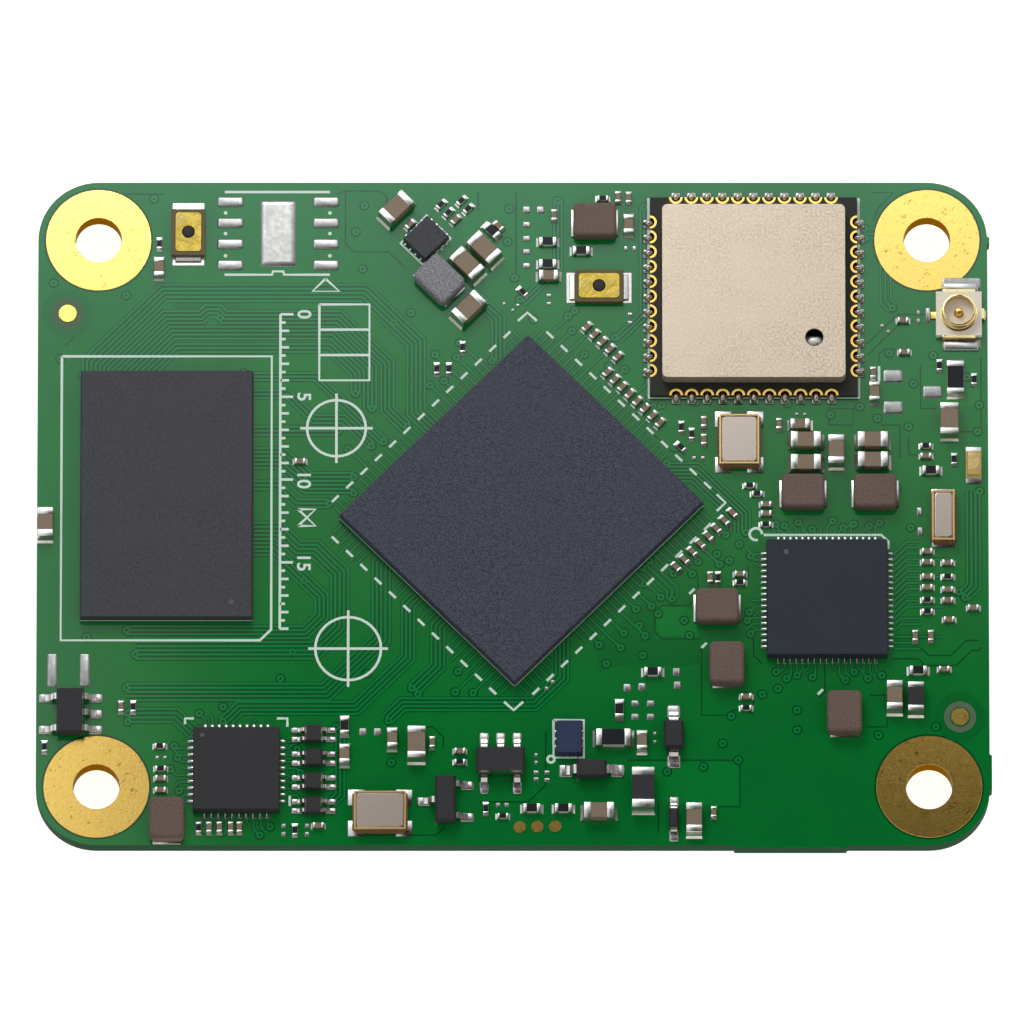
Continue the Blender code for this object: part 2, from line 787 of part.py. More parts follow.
def make_crystals():
    """The radio's, the network chip's and the clock's crystals."""
    make_crystal("radio_crystal", radio_crystal_place, crystal_length, crystal_width)
    make_crystal("network_crystal", network_crystal_place, crystal_length, crystal_width)
    make_crystal("clock_crystal", clock_crystal_place, clock_crystal_length, clock_crystal_width)


def make_chips():
    """The larger two-ended chips, each a piece of its own."""
    for number, place in enumerate(capacitor_places, 1):
        chip = two_ended_chip(large_length, large_width, large_height, chip_cap_length)
        add_piece(f"bulk_capacitor_{number}", chip, on_layout(place, chip_seat), CERAMIC)
    singles = {
        "sense_resistor": (sense_resistor_place, resistor_length, resistor_width, resistor_height),
        "antenna_resistor": (antenna_coil_place, resistor_length, resistor_width, resistor_height),
        "filter_coil": (filter_coil_place, medium_length, medium_width, medium_height),
        "power_bead": (bead_place, bead_length, bead_width, bead_height),
    }
    for name, (place, length, width, height) in singles.items():
        chip = two_ended_chip(length, width, height, chip_cap_length)
        add_piece(name, chip, on_layout(place, chip_seat), MOULD)


def make_switch(name, place):
    """A push switch: open housing, snap dome in it, plunger on the dome and film over the rim."""
    form = Form(rectangle(switch_length, switch_width)).rise(switch_height)
    form.sink(switch_wall, switch_height - switch_floor)
    housing = add_piece(f"{name}_housing", form.shape, on_layout(place, chip_seat), FRAME)
    reach = switch_length / 2 + switch_terminal_reach
    inner = switch_length / 2 - switch_wall / 2
    terminal = (reach - inner, switch_terminal_width, switch_terminal_height)
    terminals = [
        (block(*terminal), Matrix.Translation((side * (reach + inner) / 2, 0, 0))) for side in (-1, 1)
    ]
    combine(housing, gather(terminals), "UNION")

    dome_seat = chip_seat + switch_floor + solder_gap
    edge = dome_diameter / 2
    dome_profile = [
        (0, dome_rise + dome_thickness), (edge * 0.6, dome_rise * 0.64 + dome_thickness),
        (edge, dome_thickness), (edge, 0), (edge * 0.6, dome_rise * 0.64), (0, dome_rise),
    ]
    add_piece(f"{name}_dome", turned(dome_profile, 16), on_layout(place, dome_seat), TINNED)

    film_seat = chip_seat + switch_height + film_gap
    sheet = Form(rectangle(film_length, film_width, film_corner)).rise(film_thickness).shape
    film = add_piece(f"{name}_film", sheet, on_layout(place, film_seat), FILM)
    film_hole = circle(plunger_diameter + 2 * plunger_clearance, 16)
    combine(film, Form(film_hole, -film_thickness).rise(3 * film_thickness).shape, "DIFFERENCE")

    flange = plunger_flange_diameter / 2
    head = plunger_diameter / 2
    flange_bottom = dome_seat + dome_rise + dome_thickness + plunger_travel + film_gap
    head_top = film_seat + film_thickness + plunger_stand - flange_bottom
    plunger_profile = [
        (0, 0), (flange, 0), (flange, plunger_flange_height), (head, plunger_flange_height),
        (head, head_top - plunger_stand / 2), (head - plunger_stand / 2, head_top), (0, head_top),
    ]
    add_piece(f"{name}_plunger", turned(plunger_profile, 16), on_layout(place, flange_bottom), RUBBER)


def socket_arm(level, width, reach):
    """A strip that leaves the socket's flange along X, drops beside the base and ends in a foot."""
    start = socket_shell_diameter / 2 - socket_shell_wall / 2
    drop = socket_base_size / 2 + solder_gap
    outer = drop + socket_sheet
    outline = [
        (start, level + socket_sheet), (outer, level + socket_sheet), (outer, socket_sheet),
        (drop + reach, socket_sheet), (drop + reach, 0), (drop, 0), (drop, level), (start, level),
    ]
    return loft([[(x, side * width / 2, z) for x, z in outline] for side in (-1, 1)])


def make_antenna_socket():
    """The coaxial socket: moulded base, turned shell with solder arms, and the centre contact."""
    place = antenna_place
    base_shape = block(socket_base_size, socket_base_size, socket_base_height)
    base = add_piece("antenna_base", base_shape, on_layout(place, chip_seat), CREAM)
    slot_width = socket_tail_width + 2 * socket_pin_gap
    slot_length = socket_base_size / 2 + slot_width
    slot = block(slot_length, slot_width, socket_sheet + socket_pin_gap + solder_gap, -solder_gap)
    bore = Form(circle(socket_pin_diameter + 2 * socket_pin_gap, 16), -solder_gap)
    bore.rise(socket_base_height + 2 * solder_gap)
    slot.transform(Matrix.Translation((slot_width / 2 - slot_length / 2, 0, 0)))
    combine(base, slot, "DIFFERENCE")
    combine(base, bore.shape, "DIFFERENCE")

    flange_seat = socket_base_height + solder_gap
    outer = socket_shell_diameter / 2
    flange = socket_flange_diameter / 2
    profile = [
        (outer - socket_shell_wall, flange_seat), (flange, flange_seat), (flange, flange_seat + socket_sheet),
        (outer, flange_seat + socket_sheet), (outer, socket_height - solder_gap),
        (outer - solder_gap, socket_height), (outer - socket_shell_wall, socket_height),
    ]
    shell_shape = turned(profile, shell_steps, closed=True)
    shell = add_piece("antenna_shell", shell_shape, on_layout(place, chip_seat), GOLD)
    arms = [
        (socket_arm(flange_seat, socket_arm_width, socket_arm_reach), Matrix.Rotation(math.pi / 2, 4, "Z")),
        (socket_arm(flange_seat, socket_arm_width, socket_arm_reach), Matrix.Rotation(-math.pi / 2, 4, "Z")),
        (socket_arm(flange_seat, socket_tab_width, 2 * socket_sheet), Matrix.Identity(4)),
    ]
    combine(shell, gather(arms), "UNION")

    pin_shape = Form(circle(socket_pin_diameter, 12)).rise(socket_pin_height)
    pin_shape.rise(socket_pin_diameter / 4, socket_pin_diameter / 6)
    pin = add_piece("antenna_pin", pin_shape.shape, on_layout(place, chip_seat), GOLD)
    tail_length = socket_base_size / 2 + socket_tail_reach
    tail = block(tail_length, socket_tail_width, socket_sheet)
    combine(pin, gather([(tail, Matrix.Translation((-tail_length / 2, 0, 0)))]), "UNION")


def make_leaded_packages():
    """Logic chips, transistor, surge arrays and diodes."""
    lead = (sot_lead_width, sot_lead_reach)
    for name, place in logic_chip_places.items():
        leads = [(-90, sot_lead_pitch * k, *lead) for k in (-1, 0, 1)]
        leads += [(90, sot_lead_pitch * k, *lead) for k in (-1, 1)]
        leaded_package(name, place, (sot_length, sot_width, sot_height), leads)
    leads = [(90, transistor_lead_pitch * k / 2, *lead) for k in (-1, 1)] + [(-90, 0, *lead)]
    leaded_package("transistor", transistor_place, (sot_length, transistor_width, sot_height), leads)
    lead = (array_lead_width, array_lead_reach)
    leads = [(side, array_lead_pitch * k / 2, *lead) for side in (-90, 90) for k in (-1, 1)]
    for k in range(array_count):
        place = (array_column, array_first_row - k * array_row_pitch, 90)
        leaded_package(f"surge_array_{k + 1}", place, (array_length, array_width, array_height), leads)
    leads = [(side, 0, diode_width / 2, diode_lead_reach) for side in (0, 180)]
    for number, place in enumerate(diode_places, 1):
        leaded_package(f"diode_{number}", place, (diode_length, diode_width, diode_height), leads)
    leads = [(side, 0, small_diode_width * 0.7, array_lead_reach) for side in (0, 180)]
    size = (small_diode_length, small_diode_width, small_diode_height)
    leaded_package("small_diode", small_diode_place, size, leads)


def make_led():
    """The status light: a flat base with a moulded lens on it."""
    form = Form(rectangle(led_length, led_width)).rise(led_base_height).step_in(led_rim)
    form.rise(led_lens_height, led_rim)
    add_piece("status_led", form.shape, on_layout(led_place, chip_seat), LENS)


def comb_outline(width, pitch, tooth, reach, count):
    """A strip along X with a row of square teeth out of each long side."""
    side = []
    for k in range(count):
        along = (k - (count - 1) / 2) * pitch
        side += [
            (along - tooth / 2, -width / 2), (along - tooth / 2, -width / 2 - reach),
            (along + tooth / 2, -width / 2 - reach), (along + tooth / 2, -width / 2),
        ]
    return side + [(-x, -y) for x, y in side]


def make_plug(name, place):
    """A board plug, upside down: a long tub open below, with its contact tails along both sides."""
    form = Form(rectangle(plug_length, plug_width)).rise(plug_height)
    form.step_in(plug_wall)
    for corner in form.top.verts:
        corner.co.x *= (plug_length / 2 - plug_end_wall) / (plug_length / 2 - plug_wall)
    form.rise(-plug_recess)
    hung = place @ Matrix.Rotation(math.pi, 4, "X")
    plug = add_piece(name, form.shape, hung, PLUG)
    comb = comb_outline(
        plug_width - plug_wall, contact_pitch, contact_width, contact_reach + plug_wall / 2, contacts_per_side,
    )
    combine(plug, Form(comb, contact_lift).rise(contact_thickness).shape, "UNION")


def make_plugs():
    """Two plugs along the board's long sides and one along its left side."""
    level = plug_height
    across = board_width / 2 - plug_edge_inset
    side = board_length / 2 - plug_edge_inset
    make_plug("board_plug_rear", Matrix.Translation((0, across, level)))
    make_plug("board_plug_front", Matrix.Translation((0, -across, level)))
    quarter = Matrix.Rotation(math.pi / 2, 4, "Z")
    make_plug("board_plug_side", Matrix.Translation((-side, 0, level)) @ quarter)


def main():
    clear_scene()
    make_board()
    make_array_packages()
    make_leadless_packages()
    make_radio()
    make_inductors()
    make_crystals()
    make_chips()
    make_switch("left_switch", left_switch_place)
    make_switch("right_switch", right_switch_place)
    make_antenna_socket()
    make_leaded_packages()
    make_led()
    make_plugs()


main()
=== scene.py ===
"""Looks for a system on module: board, print, copper, chips, radio, switches, socket and plugs.

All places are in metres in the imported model's frame. Lists of places are in millimetres from the board's centre.
"""

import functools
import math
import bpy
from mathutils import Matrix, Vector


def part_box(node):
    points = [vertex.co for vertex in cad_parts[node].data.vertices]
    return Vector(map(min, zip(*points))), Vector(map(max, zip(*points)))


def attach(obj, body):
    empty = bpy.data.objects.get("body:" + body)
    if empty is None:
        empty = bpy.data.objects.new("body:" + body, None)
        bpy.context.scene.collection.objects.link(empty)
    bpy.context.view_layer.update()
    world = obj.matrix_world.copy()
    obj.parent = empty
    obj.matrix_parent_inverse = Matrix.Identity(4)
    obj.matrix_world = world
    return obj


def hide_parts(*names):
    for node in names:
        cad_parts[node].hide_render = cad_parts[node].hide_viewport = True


bl_info = {
    "name": "System on module",
    "version": (1, 0, 0),
    "blender": (4, 5, 0),
    "location": "View3D > Sidebar > Module",
    "description": "Builds the finished surfaces of a small circuit board module",
    "category": "Object",
}

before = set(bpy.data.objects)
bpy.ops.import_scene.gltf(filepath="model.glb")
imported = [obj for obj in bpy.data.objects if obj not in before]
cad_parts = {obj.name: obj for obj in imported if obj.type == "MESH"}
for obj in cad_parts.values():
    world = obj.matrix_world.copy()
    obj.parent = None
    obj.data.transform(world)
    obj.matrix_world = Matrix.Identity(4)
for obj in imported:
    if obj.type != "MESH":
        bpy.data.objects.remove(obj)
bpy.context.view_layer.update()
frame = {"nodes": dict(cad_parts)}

import bmesh
import bpy
from mathutils import Matrix, Vector

NODES = frame["nodes"]
BODY = "module"
MM = 0.001

PLUGS = ("board_plug_rear", "board_plug_front", "board_plug_side")
BOARD_THICKNESS = 1.2 * MM
BOARD_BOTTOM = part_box(PLUGS[0])[1].z + 0.05 * MM
BOARD_TOP = BOARD_BOTTOM + BOARD_THICKNESS
CHIP_SEAT = BOARD_TOP + 0.05 * MM
# Undersides of the tracks and print, and of the dark strips that show as gaps in the copper
LAY_LEVEL = BOARD_TOP - 0.002 * MM
GAP_LEVEL = BOARD_TOP - 0.008 * MM
# Neighbouring strips, and neighbouring vias, lie this much higher than one another, so that no faces coincide
LINE_STEP = 0.0008 * MM
VIA_STEP = 0.0002 * MM
# Room below a package on solder balls; the screw holes' diameter, and the steps round their rings
BALL_GAP = 0.2 * MM
SCREW_HOLE = 2.7 * MM
RING_STEPS = 72
# Raised copper on the board's own solid: its height in micrometres, and the length that only a ring has
COPPER_RISE = 35
RING_LEAST = 5 * MM
# Contacts along each side of the leadless chips: how many, and their pitch in millimetres
CONTACTS = {
    "power_controller": (17, 0.35), "network_transceiver": (10, 0.4), "step_down_regulator": (4, 0.42),
    "load_switch": (3, 0.45),
}
# The printed scale's line and its upper end, in millimetres from the board's centre
SCALE_X, SCALE_TOP = -13.45, 12.0


def from_screen(*levels):
    """A colour read from a screen, 0 to 255, as the linear values that a material takes."""
    linear = []
    for level in levels:
        share = level / 255
        linear.append(share / 12.92 if share <= 0.04045 else ((share + 0.055) / 1.055) ** 2.4)
    return tuple(linear)


def colour_setting(name, description, *levels):
    return bpy.props.FloatVectorProperty(
        name=name, description=description, subtype="COLOR", size=3, min=0, max=1,
        default=from_screen(*levels),
    )


def length_setting(name, description, millimetres):
    return bpy.props.FloatProperty(
        name=name, description=description, subtype="DISTANCE", unit="LENGTH", min=0, precision=6,
        default=millimetres * MM,
    )


def number_setting(name, description, default, least=0.0):
    return bpy.props.FloatProperty(name=name, description=description, default=default, min=least)


class BoardLook(bpy.types.PropertyGroup):
    """Colours and line widths of the bare board."""

    mask: colour_setting("Solder mask", "Green lacquer over copper", 6, 125, 50)
    mask_deep: colour_setting("Solder mask, deep", "Green lacquer over bare laminate", 4, 78, 34)
    track: colour_setting("Tracks", "Green lacquer over a track", 10, 136, 66)
    laminate: colour_setting("Laminate", "Sawn glass fibre edge", 24, 70, 40)
    printing: colour_setting("Print", "Pale printed lines", 226, 246, 232)
    gold: colour_setting("Gold", "Plated copper", 249, 202, 106)
    tin: colour_setting("Tin", "Tinned sheet and leads", 208, 199, 192)
    solder: colour_setting("Solder", "Molten and set solder", 192, 186, 180)
    bare_pad: colour_setting("Bare pads", "Dull uneven solder on unused pads", 160, 156, 151)
    clearance: length_setting("Clearance", "Bare laminate beside a track", 0.05)
    uncoated: colour_setting("Uncoated laminate", "Laminate without lacquer", 92, 112, 88)
    track_width: length_setting("Track width", "Width of a copper track", 0.13)
    track_height: length_setting("Track height", "How far a track lifts the lacquer", 0.013)
    print_width: length_setting("Print width", "Width of a printed line", 0.15)
    print_height: length_setting("Print height", "Thickness of the print", 0.03)
    pad_height: length_setting("Pad height", "Thickness of solder on a bare pad", 0.06)


class PackageLook(bpy.types.PropertyGroup):
    """Colours and edges of the moulded packages."""

    array_mould: colour_setting("Processor mould", "Grainy violet-grey compound", 67, 69, 81)
    mould: colour_setting("Memory mould", "Grey compound", 68, 68, 71)
    power_mould: colour_setting("Power chip mould", "Dark violet-grey compound", 50, 52, 62)
    network_mould: colour_setting("Network chip mould", "Dark grey compound", 54, 53, 56)
    # The substrate's pale colour is a painted highlight, so that a package's shaded lower edge shows as a light line
    substrate: colour_setting("Substrate", "Laminate below the mould", 206, 206, 200)
    carrier: colour_setting("Radio carrier", "Dark lacquered laminate", 44, 44, 38)
    inductor: colour_setting("Inductor", "Pressed brown powder", 112, 94, 85)
    grey_inductor: colour_setting("Grey inductor", "Pressed grey powder", 136, 136, 140)
    shield: colour_setting("Shield can", "Nickel-silver sheet", 204, 184, 162)
    lid: colour_setting("Crystal lid", "Pale welded lid", 192, 174, 160)
    ceramic: colour_setting("Crystal base", "Fired ceramic", 120, 92, 58)
    edge: length_setting("Edge", "Rounding of moulded edges", 0.04)
    ball: length_setting("Ball", "Solder ball diameter", 0.3)


class ChipLook(bpy.types.PropertyGroup):
    """Colours of the two-ended chips."""

    capacitor: colour_setting("Capacitor", "Brown ceramic", 140, 123, 104)
    resistor: colour_setting("Resistor", "Black glaze", 32, 33, 36)
    alumina: colour_setting("Alumina", "White ceramic below the glaze", 216, 212, 204)
    terminal: colour_setting("Terminals", "Plated ends", 222, 215, 206)


class PartLook(bpy.types.PropertyGroup):
    """Colours of the switches, socket and plugs."""

    film: colour_setting("Switch film", "Amber film", 247, 212, 48)
    frame: colour_setting("Switch frame", "Brown moulding", 104, 92, 62)
    plunger: colour_setting("Plunger", "Dark moulding", 58, 48, 44)
    cream: colour_setting("Socket base", "Cream moulding", 246, 238, 224)
    plug: colour_setting("Plug", "Black moulding", 26, 26, 27)
    blue_mould: colour_setting("Load switch", "Bluish compound", 48, 56, 86)
    rim: colour_setting("Crystal rim", "Brass under the lid", 216, 178, 118)
    contact: colour_setting("Contacts", "Dull tin at leadless chips", 176, 172, 168)
    pale_gold: colour_setting("Socket ring", "Pale plated brass", 238, 212, 152)
    # The hole wall's colour is darkened with painted shade, the shade that falls inside a hole
    bore: colour_setting("Hole wall", "Plating in the shade of a hole", 150, 104, 40)
    bore_edge: colour_setting("Hole wall glance", "Tint of the hole wall seen at a glancing angle", 178, 167, 118)
    lens: colour_setting("Lens", "Light's moulded lens", 226, 190, 110)


class StageLook(bpy.types.PropertyGroup):
    """Camera and light."""

    lens: number_setting("Lens", "Focal length in mm", 1000.0, 1.0)
    field: length_setting("Field", "Width of the view at the board", 59.42)
    tilt: bpy.props.FloatProperty(
        name="Tilt", description="Camera's angle off vertical", subtype="ANGLE", default=math.radians(16.8),
    )
    aim_x: length_setting("Aim", "How far right of the board's centre the view is aimed", 0.072)
    aim_y: bpy.props.FloatProperty(
        name="Aim down", description="How far below the board's centre the view is aimed", default=-0.075 * MM,
    )
    key: number_setting("Key", "Power of the large soft lamp in W", 0.07)
    fill: number_setting("Fill", "Power of the second soft lamp in W", 0.1)
    sky: number_setting("Sky", "Strength of the room's light", 0.46)
    card: number_setting("Card", "Brightness of the card that shiny surfaces reflect", 2.0)
    card_rear: colour_setting("Card, rear", "Cool light of the card's bright side", 228, 244, 255)
    card_front: colour_setting("Card, front", "Warm light of the card's dim side", 255, 246, 232)
    shadow: number_setting("Floor glow", "How white the floor looks where no light falls", 0.8)


SETTINGS = {
    "module_board": BoardLook, "module_packages": PackageLook, "module_chips": ChipLook,
    "module_parts": PartLook, "module_stage": StageLook,
}


# Trees: one small helper for materials and Geometry Nodes alike
class Wiring:
    """Adds nodes to a tree and joins them."""

    def __init__(self, tree):
        self.tree = tree

    def add(self, kind, inputs=None, **settings):
        node = self.tree.nodes.new(kind)
        for name, value in settings.items():
            setattr(node, name, value)
        self.fill(node, inputs or {})
        return node

    def fill(self, node, values):
        """Give a node's inputs their values or links."""
        for name, value in values.items():
            self.join(value, node.inputs[name])

    def join(self, value, socket):
        if isinstance(value, bpy.types.NodeSocket):
            self.tree.links.new(value, socket)
        else:
            socket.default_value = value

    def calc(self, operation, *values, **settings):
        return self.add("ShaderNodeMath", dict(enumerate(values)), operation=operation, **settings).outputs[0]

    def ramp(self, value, low=0.0, high=1.0, first=0.0, last=1.0, **settings):
        """A value carried from one range into another."""
        limits = {"From Min": low, "From Max": high, "To Min": first, "To Max": last}
        return self.add("ShaderNodeMapRange", {"Value": value, **limits}, **settings).outputs["Result"]


def new_group(name, kind, inputs, outputs):
    """An empty node group with named sockets, and the wiring for it."""
    group = bpy.data.node_groups.new(name, kind)
    for in_out, sockets in (("INPUT", inputs), ("OUTPUT", outputs)):
        for label, socket_type, *default in sockets:
            socket = group.interface.new_socket(label, in_out=in_out, socket_type=f"NodeSocket{socket_type}")
            if default:
                socket.default_value = default[0]
    wiring = Wiring(group)
    return group, wiring, wiring.add("NodeGroupInput"), wiring.add("NodeGroupOutput")


# Surface effects that several materials share
def noise_group(name, inputs, outputs, **texture):
    """A group that starts with noise of a given size; its Stretch input, if it has one, draws the noise out."""
    group, wiring, given, result = new_group(name, "ShaderNodeTree", inputs, outputs)
    place = wiring.add("ShaderNodeTexCoord").outputs["Object"]
    if "Stretch" in given.outputs:
        factors = {0: place, 1: given.outputs["Stretch"]}
        place = wiring.add("ShaderNodeVectorMath", factors, operation="MULTIPLY").outputs[0]
    scale = wiring.calc("DIVIDE", 1.0, given.outputs["Size"])
    noise = wiring.add("ShaderNodeTexNoise", {"Vector": place, "Scale": scale, **texture}).outputs["Fac"]
    return group, wiring, given, result, noise


def grain_group():
    """Fine even speckle, as in moulding compound or blasted metal."""
    group, wiring, given, result, speckle = noise_group(
        "Grain", [("Size", "Float", 0.0001), ("Contrast", "Float", 1.0)], [("Mask", "Float"), ("Height", "Float")],
        Detail=3.0, Roughness=0.7,
    )
    spread = wiring.calc("MULTIPLY", given.outputs["Contrast"], 3.0)
    centred = wiring.calc("SUBTRACT", speckle, 0.5)
    mask = wiring.calc("MULTIPLY_ADD", centred, spread, 0.5, use_clamp=True)
    wiring.fill(result, {"Mask": mask, "Height": speckle})
    return group


def cloud_group():
    """Broad soft patches, as of handling, flux or uneven plating."""
    group, wiring, given, result, cloud = noise_group(
        "Clouds", [("Size", "Float", 0.002), ("Amount", "Float", 1.0)], [("Mask", "Float")],
        Detail=5.0, Roughness=0.6, Distortion=0.6,
    )
    mask = wiring.ramp(cloud, 0.38, 0.66, interpolation_type="SMOOTHSTEP")
    wiring.fill(result, {"Mask": wiring.calc("MULTIPLY", mask, given.outputs["Amount"])})
    return group


def scratch_group():
    """Thin stretched marks along X and Y, as left by rolling, brushing or a test probe."""
    group, wiring, given, result, marks = noise_group(
        "Scratches", [("Size", "Float", 0.0002), ("Stretch", "Vector", (1.0, 12.0, 1.0))], [("Mask", "Float")],
        Detail=4.0, Roughness=0.75,
    )
    wiring.fill(result, {"Mask": wiring.ramp(marks, 0.45, 0.72)})
    return group


SURFACE = {}
FINISH = {}


def start_material(name):
    material = bpy.data.materials.new(name)
    material.use_nodes = True
    shader = material.node_tree.nodes["Principled BSDF"]
    return material, Wiring(material.node_tree), shader


def blend_colours(wiring, mask, first, second):
    """A colour between two, by a mask."""
    mix = wiring.add("ShaderNodeMix", {"Factor": mask}, data_type="RGBA")
    for socket, colour in ((6, first), (7, second)):
        wiring.join(colour if isinstance(colour, bpy.types.NodeSocket) else (*colour, 1.0), mix.inputs[socket])
    return mix.outputs[2]


def shade(colour, share):
    """A colour made darker or lighter."""
    return tuple(min(1.0, channel * share) for channel in colour)


def surface(wiring, name, **inputs):
    return wiring.add("ShaderNodeGroup", inputs, node_tree=SURFACE[name]).outputs


def bump(wiring, shader, *layers):
    """Relief from (height, distance) layers, the broadest first."""
    below = {}
    for height, distance in layers:
        normal = wiring.add("ShaderNodeBump", {"Height": height, "Distance": distance, **below}).outputs["Normal"]
        below = {"Normal": normal}
    wiring.fill(shader, below)


def speckled(name, colour, grain, contrast, dark, light):
    """A new material, its grain, and a base colour that runs from dark to light with the grain."""
    material, wiring, shader = start_material(name)
    speckle = surface(wiring, "Grain", Size=grain, Contrast=contrast)
    base = blend_colours(wiring, speckle["Mask"], shade(colour, dark), shade(colour, light))
    return material, wiring, shader, speckle, base


def moulded(name, colour, grain=0.00009, contrast=0.5, depth=0.000006, roughness=0.55, light=1.25, dark=0.72):
    """Moulding compound: speckled, matt, a little uneven."""
    material, wiring, shader, speckle, base = speckled(name, colour, grain, contrast, dark, light)
    patches = surface(wiring, "Clouds", Size=0.004, Amount=0.35)["Mask"]
    wiring.fill(shader, {
        "Base Color": blend_colours(wiring, patches, base, shade(colour, 1.12)),
        "Roughness": wiring.ramp(speckle["Mask"], first=roughness - 0.08, last=roughness + 0.12),
        "Specular IOR Level": 0.14,
    })
    bump(wiring, shader, (speckle["Height"], depth))
    return material


def plated(
    name, colour, grain=0.00012, contrast=0.4, depth=0.000005, smooth=0.22, rough=0.45, patch=0.78, dents=0.0,
    even=False, specks=0.0, edge=None,
):
    """Plated or tinned metal: patchy shine with small pits, stains, and broad dents where solder set."""
    material, wiring, shader, speckle, base = speckled(name, colour, grain, contrast, 0.82, 1.1)
    patches = surface(wiring, "Clouds", Size=grain * 6, Amount=0.8)["Mask"]
    worn = blend_colours(wiring, patches, base, shade(colour, patch))
    if specks:
        stained = wiring.ramp(surface(wiring, "Grain", Size=specks)["Height"], 0.6, 0.7)
        worn = blend_colours(wiring, stained, worn, shade(colour, 0.45))
    level = wiring.ramp(speckle["Mask"] if even else patches, first=smooth, last=rough)
    wiring.fill(shader, {"Base Color": worn, "Metallic": 1.0, "Roughness": level})
    if edge:
        wiring.fill(shader, {"Specular Tint": (*edge, 1.0)})
    bump(wiring, shader, *([(patches, dents)] if dents else []), (speckle["Height"], depth))
    return material


def lacquer(name, over_copper, over_bare, amount=0.16):
    """Solder mask: glossy green lacquer with the weave of the laminate faintly under it."""
    material, wiring, shader, speckle, base = speckled(name, over_copper, 0.00022, 0.25, 0.93, 1.06)
    patches = surface(wiring, "Clouds", Size=0.006, Amount=amount)["Mask"]
    mixed = blend_colours(wiring, patches, base, over_bare)
    wiring.fill(shader, {"Base Color": mixed, "Roughness": 0.1, "Specular IOR Level": 0.6})
    bump(wiring, shader, (speckle["Height"], 0.000001))
    return material


def laminate(name, colour):
    """Sawn board edge: thin layers of glass cloth and resin."""
    material, wiring, shader = start_material(name)
    cloth = {
        "Vector": wiring.add("ShaderNodeTexCoord").outputs["Object"],
        "Scale": 3200.0, "Distortion": 3.0, "Detail": 3.0, "Detail Scale": 4.0,
    }
    layers = wiring.add("ShaderNodeTexWave", cloth, bands_direction="Z").outputs["Fac"]
    speckle = surface(wiring, "Grain", Size=0.00012, Contrast=0.8)
    base = blend_colours(wiring, layers, shade(colour, 0.62), shade(colour, 1.2))
    fibres = blend_colours(wiring, speckle["Mask"], base, shade(colour, 1.3))
    wiring.fill(shader, {"Base Color": fibres, "Roughness": 0.7, "Specular IOR Level": 0.1})
    bump(wiring, shader, (speckle["Height"], 0.00001))
    return material


def printed(name, colour):
    """Printed lines: matt, thin in places, with rough dots."""
    material, wiring, shader, _, base = speckled(name, colour, 0.00008, 0.6, 0.84, 1.05)
    wiring.fill(shader, {"Base Color": base, "Roughness": 0.6})
    return material


def rolled_sheet(name, colour):
    """Shield sheet: blasted speckle, faint rolling marks, soft shine."""
    material, wiring, shader, speckle, base = speckled(name, colour, 0.00014, 1.8, 0.68, 1.22)
    marks = surface(wiring, "Scratches", Size=0.0009)["Mask"]
    patches = surface(wiring, "Clouds", Size=0.003, Amount=0.5)["Mask"]
    rubbed = blend_colours(wiring, marks, base, shade(colour, 0.92))
    worn = blend_colours(wiring, patches, rubbed, shade(colour, 1.06))
    level = wiring.ramp(speckle["Mask"], first=0.38, last=0.55)
    wiring.fill(shader, {"Base Color": worn, "Metallic": 0.7, "Roughness": level})
    bump(wiring, shader, (speckle["Height"], 0.000008))
    return material


def clear_film(name, colour):
    """Glossy tinted film, uneven where it is stuck down."""
    material, wiring, shader = start_material(name)
    patches = surface(wiring, "Clouds", Size=0.0008, Amount=1.0)["Mask"]
    base = blend_colours(wiring, patches, colour, shade(colour, 0.72))
    wiring.fill(shader, {"Base Color": base, "Roughness": 0.22, "Coat Weight": 0.15})
    bump(wiring, shader, (patches, 0.00004))
    return material


